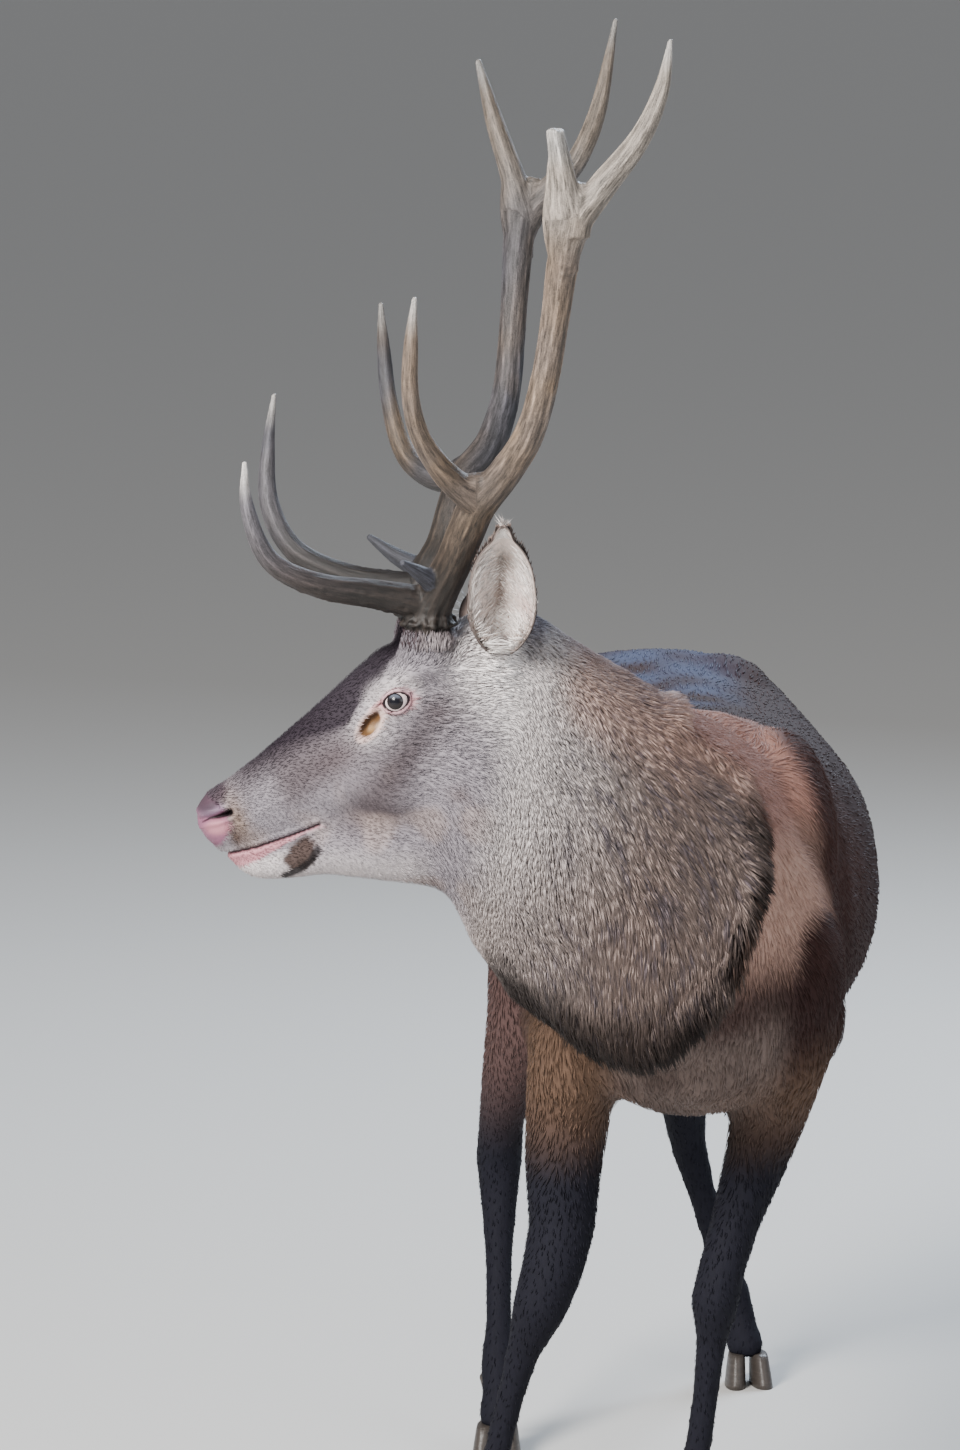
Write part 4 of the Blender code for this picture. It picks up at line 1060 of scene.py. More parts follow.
# %% Blades
def blades(path, normals, widths, thick=0.35):
    """Three-sided pointed blades along paths: points, triangles, and how far along each point is."""
    steps = len(path) - 1
    count = len(path[0])
    points, along, side_of = [], [], []
    for step in range(steps):
        ahead = path[step + 1] - path[step]
        behind = path[step] - path[max(step - 1, 0)] if step else ahead
        way = unit(ahead + behind)
        across = unit(np.cross(way, normals[step]))
        up = np.cross(across, way)
        share = step / steps
        wide = widths * (0.5 * (0.62 + 0.55 * math.sin(math.pi * (share + 0.08))))
        for shift, lift, edge in ((-1, 0, -1), (1, 0, 1), (0, 1, 0)):
            points.append(path[step] + across * (shift * wide)[:, None]
                          + up * (lift * thick * 2 * wide)[:, None])
            along.append(np.full(count, share))
            side_of.append(np.full(count, edge))
    points.append(path[-1])
    along.append(np.ones(count))
    side_of.append(np.zeros(count))
    points = np.stack(points, 1).reshape(-1, 3)
    faces = [(0, 1, 2)]
    for step in range(steps - 1):
        a, b, c = 3 * step, 3 * step + 1, 3 * step + 2
        for p, q in ((a, b), (b, c), (c, a)):
            faces += [(p, p + 3, q + 3), (p, q + 3, q)]
    a, tip = 3 * (steps - 1), 3 * steps
    faces += [(a, tip, a + 1), (a + 1, tip, a + 2), (a + 2, tip, a)]
    each = np.array(faces)
    each_points = 3 * steps + 1
    triangles = (each[None] + np.arange(count)[:, None, None] * each_points).reshape(-1, 3)
    return (points, triangles, np.stack(along, 1).ravel(), np.stack(side_of, 1).ravel(), each_points)


PATCH = 0.0026           # width of a tuft's patch on the colour map


def coat_piece(name, path, normals, widths, tone, fleck, patches, material, thick=0.35):
    """A joined mesh of tufts with its colours and its map."""
    points, triangles, along, edge, each = blades(path, normals, widths, thick)
    mesh = bpy.data.meshes.new(name)
    mesh.vertices.add(len(points))
    mesh.vertices.foreach_set("co", points.ravel())
    mesh.loops.add(triangles.size)
    mesh.loops.foreach_set("vertex_index", triangles.ravel().astype(np.int32))
    mesh.polygons.add(len(triangles))
    mesh.polygons.foreach_set("loop_start", np.arange(0, triangles.size, 3, dtype=np.int32))
    mesh.update(calc_edges=True)
    mesh.shade_smooth()
    paint(mesh, np.repeat(tone, each, 0), along=along, fleck=np.repeat(fleck, each))
    spread = np.stack((edge * 0.5, along - 0.5), -1) * PATCH
    corners = (np.repeat(patches, each, 0) + spread)[triangles.ravel()]
    chart = mesh.uv_layers.new(name="OFBake")
    chart.data.foreach_set("uv", corners.astype(np.float32).ravel())
    mesh.materials.append(material)
    piece = show(mesh, name)
    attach(piece, "root")
    return piece


# %% [markdown]
# Every tuft gets a small patch on the colour map at its root's place on an unwrap of the skin. Each
# region is unrolled like a sleeve: the turn round its own axis is one side of the map and the way
# along it is the other.

# %% Unroll a region
def unroll(points, axis_start, axis_end, low, high, lane=(0.0, 1.0)):
    """Places on a sleeve round an axis, from low to high along it, in a lane of the map's width."""
    start, end = GROUND + np.array(axis_start), GROUND + np.array(axis_end)
    axis = unit(end - start)
    first = unit(np.cross(axis, (0.31, 0.17, 0.93)))
    second = np.cross(axis, first)
    away = points - start
    turn = np.arctan2(away @ second, away @ first) / (2 * math.pi) + 0.5
    run = np.clip((away @ axis - low) / (high - low), 0, 1)
    across = lane[0] + (lane[1] - lane[0]) * (0.01 + 0.98 * turn)
    return np.stack((PATCH + (1 - 2 * PATCH) * across, PATCH + (1 - 2 * PATCH) * run), -1)


ground = Ground(hide, coat_lie, coat_depth)
print("ground", len(ground.points), "points")

# %% [markdown]
# One recipe grows every stretch of the coat: scatter roots, comb the tufts over the skin, draw them
# into locks, colour them, and join them in a few meshes. The stretches differ in density, length,
# width and how far the locks draw together.

# %% The recipe for a stretch of coat
def grow(name, total, chunks, density, width, locks, pull, stray, finish, sleeve,
         steps=2, thick=0.25, tone_of=markings):
    """Grow that many tufts in a few meshes, drawn together into that many locks."""
    roots = ground.scatter(total, density)
    lengths = coat_length(roots) * DRAW.uniform(0.70, 1.22, total)
    path, normals = comb(ground, roots, lengths, steps, stray)
    path, lock = clump(path, roots, locks, pull)
    fleck = 0.72 * DRAW.random(locks)[lock] + 0.28 * DRAW.random(total)
    widths = width(roots) * DRAW.uniform(0.7, 1.3, total)
    tone = tone_of(roots)
    patches = sleeve(roots)
    order = np.argsort(roots[:, 1] if chunks > 2 else roots[:, 0])
    for index, chosen in enumerate(np.array_split(order, chunks)):
        coat_piece(f"{name}_{index + 1}", [p[chosen] for p in path], [n[chosen] for n in normals],
                   widths[chosen], tone[chosen], fleck[chosen], patches[chosen], COATS[finish], thick)
    print(name, total, "tufts")


# %% The neck and its mane
def neck_only(points):
    r = regions(points)
    return r["neck"] * np.clip(1.1 - r["mane"], 0.15, 1)


def mane_only(points):
    r = regions(points)
    return r["neck"] * r["mane"] ** 1.2


def neck_width(points):
    return 0.0012 + 0.0010 * ramp(regions(points)["behind"], 0.00, 0.20)


def mane_width(points):
    return 0.0016 + 0.0009 * ramp(regions(points)["behind"], 0.08, 0.30)


def neck_sleeve(points):
    return unroll(points, (-0.28, -0.36, 1.25), (0.0, -0.05, 0.95), -0.14, 0.56)


grow("coat_neck", total=26000, chunks=2, density=neck_only, width=neck_width, locks=12000, pull=0.35,
     stray=0.16, finish="neck", sleeve=neck_sleeve)
grow("mane", total=27000, chunks=3, density=mane_only, width=mane_width, locks=8500, pull=0.78,
     stray=0.14, finish="mane", sleeve=neck_sleeve, steps=3, thick=0.35)


# %% The trunk, legs and tail
def trunk_only(points):
    r = regions(points)
    return r["trunk"] * (1 + 2.0 * ramp(0.25 - r["stand"][:, 1], 0, 0.15))


def leg_and_tail(points):
    r = regions(points)
    return (r["leg"] + 1.4 * r["tail"]) * (0.5 + 0.5 * ramp(r["stand"][:, 2], 0.2, 0.6))


def leg_width(points):
    return 0.0015 + 0.0007 * ramp(points[:, 2] - GROUND[2], 0.4, 0.7)


def trunk_sleeve(points):
    return unroll(points, (-0.02, -0.3, 0.93), (-0.02, 1.1, 0.93), 0.0, 1.45)


LEG_AXES = (                   # x and y of a leg, whether it is a fore leg, and whether a left one
    (0.05, -0.03, True, True), (-0.22, -0.04, True, False),
    (0.08, 1.10, False, True), (-0.23, 0.85, False, False))


def leg_sleeves(points):
    """The four legs unrolled side by side, the tail with the left hind leg."""
    stand = points - GROUND
    patches = np.zeros((len(points), 2))
    for index, (x, y, front, left) in enumerate(LEG_AXES):
        here = ((stand[:, 1] < MID_TRUNK) == front) & ((stand[:, 0] > -0.06) == left)
        lane = (index / 4, (index + 1) / 4)
        patches[here] = unroll(points[here], (x, y, 0.0), (x, y, 1.0), 0.0, 1.15, lane)
    return patches


def trunk_width(points):
    return 0.0014 + 0.0008 * ramp(points[:, 1] - GROUND[1], 0.05, 0.35)


grow("coat_trunk", total=26000, chunks=2, density=trunk_only, width=trunk_width, locks=14000, pull=0.20,
     stray=0.12, finish="body", sleeve=trunk_sleeve)
grow("coat_legs", total=13000, chunks=1, density=leg_and_tail, width=leg_width, locks=9000, pull=0.25,
     stray=0.12, finish="body", sleeve=leg_sleeves)


# %% The face
def face_only(points):
    r = regions(points)
    places = r["place"]
    free = 1 - np.clip(bare_skin(places) * (places[:, 0] > -0.05) * 1.6, 0, 1)
    pedicle = np.hypot(places[:, 0] - PEDICLE[0], abs(places[:, 1]) - PEDICLE[1]) < 0.042
    crowd = 1.0 + ramp(places[:, 0], 0.10, 0.26) + 1.2 * pedicle * (places[:, 2] > -0.06)
    return r["head"] * (crowd + 0.8 * ear_foot(places)) * free


def face_width(points):
    place = on_head(points)
    return 0.0007 + 0.0005 * ramp(place[:, 0], 0.10, -0.10) + 0.0004 * ear_foot(place)


def face_tone(points):
    return face_skin_colour(markings(points), on_head(points))


def head_sleeve(points):
    return unroll(points, (-0.66, -0.41, 1.12), (-0.30, -0.38, 1.28), -0.03, 0.52)


grow("coat_head", total=29000, chunks=2, density=face_only, width=face_width, locks=15000, pull=0.20,
     stray=0.20, finish="face", sleeve=head_sleeve, tone_of=face_tone)

# %% [markdown]
# The bone pedicles that carry the antlers are furred up to the burr. A ruff of short tufts, grey in
# front and darker behind, stands close under each burr.

# %% Ruffs under the burrs
RUFF_TUFTS = 900                  # under each burr
RUFF_RADIUS = (0.0345, 0.0300)    # of the ruff's foot and top
RUFF_RISE = 0.018
RUFF_SHADES = ((0.270, 0.235, 0.245), (0.045, 0.032, 0.036))


def ruff_patches(turn, share, index):
    around = (turn % (2 * math.pi)) / (2 * math.pi)
    return np.stack((0.01 + 0.48 * around + 0.5 * index, 0.01 + 0.97 * share), -1)


def ruffs():
    """Short upright tufts round both pedicles, joined in one piece."""
    paths, normals, tones, patches = [[], [], []], [], [], []
    bottom, top = RUFF_RADIUS
    for index, side in enumerate(SIDES):
        turn = DRAW.uniform(0.0, 2 * math.pi, RUFF_TUFTS)
        share = DRAW.random(RUFF_TUFTS)
        out = np.cos(turn)[:, None] * FORWARD + np.sin(turn)[:, None] * LEFT
        root = off_head((0.0, half(side) * 0.051, -0.042)) + out * (bottom + (top - bottom) * share)[:, None]
        root = root + UP * (RUFF_RISE * share)[:, None]
        long = DRAW.uniform(0.009, 0.015, RUFF_TUFTS)
        lean = out * DRAW.uniform(-0.04, 0.06, RUFF_TUFTS)[:, None]
        way = unit(UP + lean + DRAW.normal(0, 0.12, (RUFF_TUFTS, 3)))
        for step in range(3):
            paths[step].append(root + way * (long * step / 2)[:, None])
        normals.append(out)
        tones.append(blend(even(root, RUFF_SHADES[0]), RUFF_SHADES[1],
                           0.35 * share + ramp(np.cos(turn), 0.1, 0.8)))
        patches.append(ruff_patches(turn, share, index))
    total = 2 * RUFF_TUFTS
    coat_piece("coat_pedicles", [np.concatenate(step) for step in paths], [np.concatenate(normals)] * 3,
               DRAW.uniform(0.0011, 0.0020, total), np.concatenate(tones), DRAW.random(total),
               np.concatenate(patches), COATS["face"])


ruffs()

# %% [markdown]
# ## The ears
# An ear is a leaf of skin rolled to a cup, narrow at its root and broad at a third of its length. A
# grid is bent to that leaf, given its thickness, and joined to the skin, with its root sunk in the
# head. Its back has short brown hair. Long cream hair grows inside from both edges across the cup.

# %% The leaf of an ear
EARS = {                         # root, tip and the way the cup opens, in the head's axes
    "left": ((-0.090, 0.070, -0.030), (-0.084, 0.180, 0.130), (0.05, 0.90, -0.30)),
    "right": ((-0.076, -0.064, -0.046), (-0.112, -0.216, -0.002), (0.75, 0.10, 0.10)),
}
EAR_WIDTH = 0.086
EAR_WALL = 0.0026


def leaf(side, t, c):
    """Places and facings on an ear's leaf: t runs from root to tip, c from one edge, -1, to the other."""
    root, tip, opening = EARS[side]
    base = off_head(root)
    length = off_head(tip) - base
    along = unit(length)
    facing = np.array(opening) @ np.stack((FORWARD, LEFT, UP))
    facing = unit(facing - along * (facing @ along))
    across = np.cross(along, facing)
    t, c = np.asarray(t, float), np.asarray(c, float)
    swell = np.sin(math.pi * np.minimum(1.0, t * 1.12 + 0.03)) ** 0.8
    point = np.sqrt(np.maximum(0.004, 1 - (np.maximum(t - 0.72, 0) / 0.283) ** 2))
    breadth = EAR_WIDTH / 2 * (0.34 + 0.66 * swell) * point
    bend = np.radians(150 - 95 * np.minimum(1.0, t * 1.6))
    turn = bend * c
    radius = breadth / np.sin(np.minimum(bend, math.pi / 2))
    offset = (across * (radius * np.sin(turn))[..., None]
              + facing * (radius * (1 - np.cos(turn) - 0.5))[..., None])
    inward = -across * np.sin(turn)[..., None] + facing * np.cos(turn)[..., None]
    return base + t[..., None] * length + offset, inward, along, across


EAR_CREAM = (0.740, 0.690, 0.665)
EAR_BROWN = (0.110, 0.070, 0.050)
EAR_FLESH = (0.42, 0.27, 0.25)
EAR_WHITE = (0.95, 0.90, 0.87)
EAR_BACK = (0.170, 0.130, 0.115)
EAR_RIM = (0.050, 0.038, 0.036)
EAR_SHADE = (0.80, 0.73, 0.70)    # of the skin under the hair of the cup
EAR_DABS = (                      # colour, strength, then an ellipse: across, along and half sizes
    (EAR_BROWN, 0.85, -0.02, 0.36, 0.12, 0.24),
    (EAR_BROWN, 0.60, 0.10, 0.60, 0.30, 0.10),
    (EAR_FLESH, 0.60, 0.55, 0.28, 0.20, 0.08),
)


def ear_tone(t, c, inside):
    cream = even(t, EAR_CREAM)
    for over, strength, across, along, wide, long in EAR_DABS:
        reach = np.hypot((c - across) / wide, (t - along) / long)
        cream = blend(cream, over, strength * np.exp(-reach ** 2))
    cream = blend(cream, EAR_WHITE, ramp(0.26 - t, 0.0, 0.16))
    rim = np.maximum(ramp(abs(c), 0.93, 0.99), ramp(t, 0.92, 0.98))
    cream = blend(cream, EAR_RIM, 0.8 * rim)
    back = blend(even(t, EAR_BACK), EAR_RIM, ramp(abs(c), 0.80, 0.98))
    return np.where(np.asarray(inside)[:, None], cream, back)


def ear_shell(side):
    form = bmesh.new()
    bmesh.ops.create_grid(form, x_segments=20, y_segments=26, size=0.5)
    flat = np.array([corner.co for corner in form.verts])
    t, c = flat[:, 1] + 0.5, flat[:, 0] * 2
    places, inward, _, _ = leaf(side, t, c)
    for corner, place in zip(form.verts, places):
        corner.co = place
    form.normal_update()
    if (np.array([corner.normal for corner in form.verts]) * inward).sum() < 0:
        bmesh.ops.reverse_faces(form, faces=form.faces)
    mesh = bpy.data.meshes.new("ear")
    form.to_mesh(mesh)
    form.free()
    layer = mesh.attributes.new("leaf_at", "FLOAT_VECTOR", "POINT")
    layer.data.foreach_set("vector", np.stack((t, c, 0 * t), -1).astype(np.float32).ravel())
    item = show(mesh, f"ear_{side}_skin")
    wall = item.modifiers.new("wall", "SOLIDIFY")
    wall.thickness = EAR_WALL
    wall.offset = 0.0
    round_off = item.modifiers.new("round", "SUBSURF")
    round_off.levels = round_off.render_levels = 1
    shell = evaluated(item)
    bpy.data.objects.remove(item)
    t, c, _ = read(shell.attributes["leaf_at"].data, "vector").T
    places, inward, _, _ = leaf(side, t, c)
    inside = ((mesh_points(shell) - places) * inward).sum(1) > 0
    shell.attributes.remove(shell.attributes["leaf_at"])
    paint(shell, ear_tone(t, c, inside) * np.where(inside[:, None], EAR_SHADE, 1.0), bare=0.25 * inside)
    shell.shade_smooth()
    shell.materials.clear()
    shell.materials.append(SKIN)
    return show(shell, f"ear_{side}_skin")


def join_to(target, items):
    """Join objects into the target."""
    for item in bpy.context.selected_objects:
        item.select_set(False)
    for item in (*items, target):
        item.select_set(True)
    bpy.context.view_layer.objects.active = target
    bpy.ops.object.join()


join_to(skin, [ear_shell(side) for side in EARS])
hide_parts("ear_left", "ear_right")
print("skin with ears", len(skin.data.vertices), "points")


# %% Hair of the ears
def ear_hair(side, inside, count):
    """Tufts on one face of an ear: roots, paths and colours."""
    t = DRAW.uniform(0.0 if inside else 0.02, 0.97, count)
    c = DRAW.uniform(-0.96, 0.96, count)
    place, inward, along, across = leaf(side, t, c)
    out = inward if inside else -inward
    if inside:
        inwards = -np.sign(c) * (0.35 + 0.75 * abs(c))
        way = unit(across * inwards[:, None] + along * (0.35 + 0.5 * t)[:, None])
        length = 0.010 + 0.016 * ramp(abs(c), 0.45, 0.95) + 0.012 * ramp(0.25 - t, 0, 0.2)
        length = length * DRAW.uniform(0.6, 1.25, count)
        lift = 0.22 + 0.25 * DRAW.random(count)
    else:
        way = unit(along + 0.12 * c[:, None] * across)
        length = (0.010 + 0.012 * ramp(0.22 - t, 0, 0.2)) * DRAW.uniform(0.7, 1.25, count)
        lift = 0.10 + 0.10 * DRAW.random(count)
    way = unit(way - out * (way * out).sum(1, keepdims=True) + across * DRAW.normal(0, 0.12, count)[:, None])
    root = place + out * (EAR_WALL / 2 - 0.0006)
    path, normals = [root], [out]
    for step in (1, 2):
        rise = (step / 2) * lift * length * (1.0 if step == 1 else 0.75)
        path.append(root + way * (length * step / 2)[:, None] + out * rise[:, None])
        normals.append(out)
    tone = ear_tone(t, c, np.full(count, inside))
    width = (0.0010 if inside else 0.0014) * DRAW.uniform(0.7, 1.3, count)
    patches = np.stack((0.01 + 0.48 * (c + 1) / 2 + (0.5 if inside else 0.0), 0.01 + 0.97 * t), -1)
    return path, normals, width, tone, DRAW.random(count), patches


INNER_TUFTS, OUTER_TUFTS = 2400, 1500
for side in EARS:
    inner, outer = ear_hair(side, True, INNER_TUFTS), ear_hair(side, False, OUTER_TUFTS)
    path = [np.concatenate(pair) for pair in zip(inner[0], outer[0])]
    normals = [np.concatenate(pair) for pair in zip(inner[1], outer[1])]
    width, tone, fleck, patches = (np.concatenate((inner[i], outer[i])) for i in range(2, 6))
    coat_piece(f"coat_ear_{side}", path, normals, width, tone, fleck, patches, COATS["ear"], 0.25)

# %% [markdown]
# ## The antlers
# Each antler is one bone: a beam with a brow, bez and trez tine and a crown. Tubes along smooth
# routes, with pearls round the burr, are wrapped in one skin. Grooves follow the beam, so every
# point is given its way round and along the nearest tube, and both the relief and the colour use it.

# %% Routes of the antlers
BEAM = {                       # forward, out, up and radius
    "left": ((0.000, 0.051, -0.035, 0.028), (0.000, 0.053, 0.006, 0.029), (-0.012, 0.066, 0.036, 0.026),
        (-0.029, 0.090, 0.075, 0.024), (-0.042, 0.120, 0.116, 0.024), (-0.057, 0.150, 0.157, 0.024),
        (-0.086, 0.180, 0.197, 0.021), (-0.113, 0.220, 0.251, 0.019), (-0.129, 0.250, 0.319, 0.018),
        (-0.139, 0.270, 0.395, 0.018), (-0.147, 0.285, 0.463, 0.020), (-0.156, 0.300, 0.520, 0.021)),
    "right": ((0.000, 0.051, -0.035, 0.028), (0.000, 0.053, 0.010, 0.029), (-0.013, 0.066, 0.044, 0.026),
        (-0.032, 0.090, 0.076, 0.024), (-0.048, 0.120, 0.118, 0.024), (-0.065, 0.150, 0.156, 0.024),
        (-0.099, 0.180, 0.197, 0.021), (-0.122, 0.220, 0.250, 0.019), (-0.133, 0.250, 0.313, 0.018),
        (-0.139, 0.270, 0.377, 0.018), (-0.145, 0.285, 0.441, 0.020), (-0.152, 0.300, 0.493, 0.021)),
}
TINES = {
    "left": {
        "brow": ((0.004, 0.055, 0.018, 0.022), (0.070, 0.075, 0.033, 0.019), (0.143, 0.100, 0.048, 0.016),
            (0.206, 0.125, 0.084, 0.013), (0.234, 0.140, 0.152, 0.009), (0.237, 0.136, 0.209, 0.003)),
        "bez": ((-0.014, 0.066, 0.040, 0.017), (0.012, 0.098, 0.060, 0.011),
            (0.040, 0.132, 0.080, 0.004)),
        "trez": ((-0.057, 0.150, 0.155, 0.022), (-0.013, 0.180, 0.194, 0.017),
            (0.022, 0.220, 0.245, 0.013), (0.038, 0.250, 0.301, 0.011), (0.038, 0.262, 0.365, 0.009),
            (0.033, 0.260, 0.424, 0.003)),
        "crown_front": ((-0.157, 0.298, 0.510, 0.020), (-0.146, 0.312, 0.568, 0.016),
            (-0.133, 0.330, 0.630, 0.011)),
        "crown_back": ((-0.149, 0.290, 0.470, 0.017), (-0.164, 0.299, 0.520, 0.020),
            (-0.194, 0.300, 0.560, 0.018), (-0.240, 0.290, 0.616, 0.014), (-0.270, 0.270, 0.676, 0.010),
            (-0.284, 0.250, 0.738, 0.003)),
        "web_front": ((-0.150, 0.288, 0.455, 0.017), (-0.143, 0.300, 0.515, 0.022),
            (-0.141, 0.308, 0.560, 0.018), (-0.138, 0.318, 0.600, 0.012)),
        "web_fork": ((-0.158, 0.298, 0.500, 0.022), (-0.163, 0.302, 0.540, 0.020),
            (-0.167, 0.304, 0.566, 0.010)),
        "web_trez": ((-0.082, 0.172, 0.180, 0.017), (-0.056, 0.166, 0.181, 0.016),
            (-0.026, 0.173, 0.182, 0.011)),
    },
    "right": {
        "brow": ((0.004, 0.055, 0.022, 0.022), (0.092, 0.075, 0.036, 0.018), (0.159, 0.100, 0.068, 0.015),
            (0.191, 0.125, 0.126, 0.013), (0.192, 0.140, 0.196, 0.009), (0.184, 0.135, 0.269, 0.003)),
        "bez": ((-0.014, 0.066, 0.040, 0.017), (0.028, 0.098, 0.060, 0.011),
            (0.064, 0.127, 0.084, 0.004)),
        "trez": ((-0.065, 0.150, 0.154, 0.021), (-0.022, 0.180, 0.156, 0.017),
            (0.010, 0.220, 0.185, 0.014), (0.027, 0.250, 0.249, 0.011), (0.033, 0.265, 0.313, 0.009),
            (0.037, 0.260, 0.376, 0.003)),
        "crown_front": ((-0.154, 0.298, 0.486, 0.022), (-0.138, 0.310, 0.545, 0.016),
            (-0.118, 0.330, 0.609, 0.012), (-0.097, 0.340, 0.688, 0.004)),
        "crown_back": ((-0.146, 0.290, 0.446, 0.017), (-0.162, 0.299, 0.488, 0.020),
            (-0.192, 0.300, 0.522, 0.018), (-0.227, 0.290, 0.565, 0.014), (-0.251, 0.270, 0.635, 0.011),
            (-0.270, 0.250, 0.745, 0.003)),
        "web_front": ((-0.148, 0.288, 0.430, 0.018), (-0.146, 0.300, 0.490, 0.023),
            (-0.143, 0.306, 0.530, 0.018)),
        "web_fork": ((-0.156, 0.298, 0.475, 0.022), (-0.164, 0.302, 0.510, 0.018),
            (-0.170, 0.304, 0.535, 0.009)),
        "web_trez": ((-0.092, 0.172, 0.176, 0.017), (-0.064, 0.166, 0.170, 0.015),
            (-0.034, 0.172, 0.152, 0.011)),
    },
}
BURR_HEIGHT = -0.0085
ANTLER_VOXEL = 0.0024


def smooth_route(stations, steps):
    """Smooth curve through stations, as rows of place and radius."""
    rows = np.array(stations)
    padded = np.concatenate((rows[:1], rows, rows[-1:]))
    t = np.arange(steps)[:, None] / steps
    route = []
    for before, start, end, after in zip(padded, padded[1:], padded[2:], padded[3:]):
        route.append((2 * start + (end - before) * t + (2 * before - 5 * start + 4 * end - after) * t ** 2
                      + (3 * start - before - 3 * end + after) * t ** 3) / 2)
    return np.concatenate((*route, rows[-1:]))


def tube(form, route, sides=20):
    """Tube of rings bridged along a route, closed at both ends."""
    side = np.array((0.0, 1.0, 0.0))
    rings = []
    for index, row in enumerate(route):
        way = unit(route[min(index + 1, len(route) - 1), :3] - route[max(index - 1, 0), :3])
        side = unit(side - way * (side @ way))
        turn = Matrix((side, np.cross(way, side), way)).transposed().to_4x4()
        ends = index in (0, len(route) - 1)
        ring = bmesh.ops.create_circle(form, segments=sides, radius=row[3], cap_ends=ends,
                                       matrix=Matrix.Translation(row[:3]) @ turn)["verts"]
        rings.append({edge for corner in ring for edge in corner.link_edges})
    for lower, upper in zip(rings, rings[1:]):
        bmesh.ops.bridge_loops(form, edges=[*lower, *upper])


# %% Wrap, groove and paint an antler
def tube_places(points, routes):
    """The nearest tube to each point: its index, the way along it, the turn, its length and radius."""
    best = np.full(len(points), 9.0)
    found = np.zeros((len(points), 5))
    for index, route in enumerate(routes):
        centres, radii = route[:, :3], route[:, 3]
        runs = np.concatenate(((0.0,), np.cumsum(np.linalg.norm(np.diff(centres, axis=0), axis=1))))
        for place in range(len(centres) - 1):
            way = centres[place + 1] - centres[place]
            t = np.clip((points - centres[place]) @ way / (way @ way), 0, 1)
            away = points - centres[place] - t[:, None] * way
            reach = np.linalg.norm(away, axis=1) - (radii[place] + t * (radii[place + 1] - radii[place]))
            closer = reach < best
            side = unit(np.cross(way, (0.2, 1.0, 0.1)))
            turn = np.arctan2(away @ side, away @ np.cross(unit(way), side))
            run = runs[place] + t * (runs[place + 1] - runs[place])
            best[closer] = reach[closer]
            found[closer] = np.stack((np.full(len(points), index), run, turn, np.full(len(points), runs[-1]),
                                      radii[place] + 0 * t), -1)[closer]
    return found


BONE_DARK = (0.026, 0.018, 0.016)
BONE_BROWN = (0.270, 0.190, 0.130)
BONE_SLATE_AND_SHADE = (0.090, 0.100, 0.135)
BONE_PALE = (0.430, 0.385, 0.340)
BONE_IVORY = (0.560, 0.535, 0.510)
BONE_GOLD = (0.340, 0.215, 0.110)
BONE_RIDGE = (0.62, 0.57, 0.50)
PEARLS = 23                       # in each of the burr's two rows
GROOVES = ((5, 0.42, 1), (9, 0.46, 2), (15, 0.42, 3), (24, 0.34, 4))     # how many round, depth, seed
BROW, BEZ, CROWN = 1, 2, 4        # order of the routes after the beam


def antler_routes(side):
    def placed(stations, steps):
        route = smooth_route(stations, steps)
        route[:, 1] *= half(side)
        return np.concatenate((off_head(route[:, :3]), route[:, 3:]), 1)

    return [placed(BEAM[side], 6)] + [placed(rows, 7) for rows in TINES[side].values()]


def antler_form(side, routes, burr):
    """Tubes, the pearls of the burr and the broken tine's chips, in one bmesh."""
    form = bmesh.new()
    for route in routes:
        tube(form, route)
    draw = np.random.default_rng(5 if side == "left" else 6)
    for index in range(2 * PEARLS):
        row = index // PEARLS
        turn = 2 * math.pi * (index + draw.uniform(-0.3, 0.3)) / PEARLS
        reach = 0.033 + draw.uniform(-0.001, 0.002) - 0.003 * row
        pearl = burr + FORWARD * reach * math.cos(turn) + LEFT * reach * math.sin(turn)
        pearl[2] += 0.001 + 0.0065 * row + draw.uniform(-0.001, 0.001)
        bmesh.ops.create_icosphere(form, subdivisions=2, radius=draw.uniform(0.0035, 0.0052),
                                   matrix=Matrix.Translation(pearl))
    if side == "left":                       # the broken end of its front crown tine
        for index in range(7):
            turn = index * 2.4
            chip = off_head((-0.132 + 0.006 * math.cos(turn), 0.3315 + 0.006 * math.sin(turn), 0.628))
            bmesh.ops.create_icosphere(form, subdivisions=1, radius=draw.uniform(0.0030, 0.0055),
                                       matrix=Matrix.Translation(chip + UP * draw.uniform(-0.001, 0.006)))
    return form


def antler_grooves(points, edges, found):
    """Ridges above zero and grooves below it, running along the tubes and fading at the tines' roots."""
    tine, run, turn, _, radius = found.T
    drift = 1.1 * sway(np.stack((run, tine * 3, 0 * run), -1), 0.16, 21)
    grooves = np.zeros(len(points))
    for lobes, depth, seed in GROOVES:
        phase = 0.8 * sway(np.stack((run, tine * 5, 0 * run), -1), 0.12, 30 + seed) + seed + drift
        wide = ramp(2 * math.pi * radius / lobes, 0.0040, 0.0085)       # too fine for the mesh on thin tines
        uneven = 0.6 + 0.4 * sway(points, 0.05, 40 + seed)
        grooves += depth * wide * (1 - 2 * abs(np.sin(0.5 * (lobes * turn + phase)))) * uneven
    fade = np.where(tine == 0, 1.0, ramp(run, 0.025, 0.07))
    return ease((grooves * fade)[:, None], edges, 2)[:, 0]


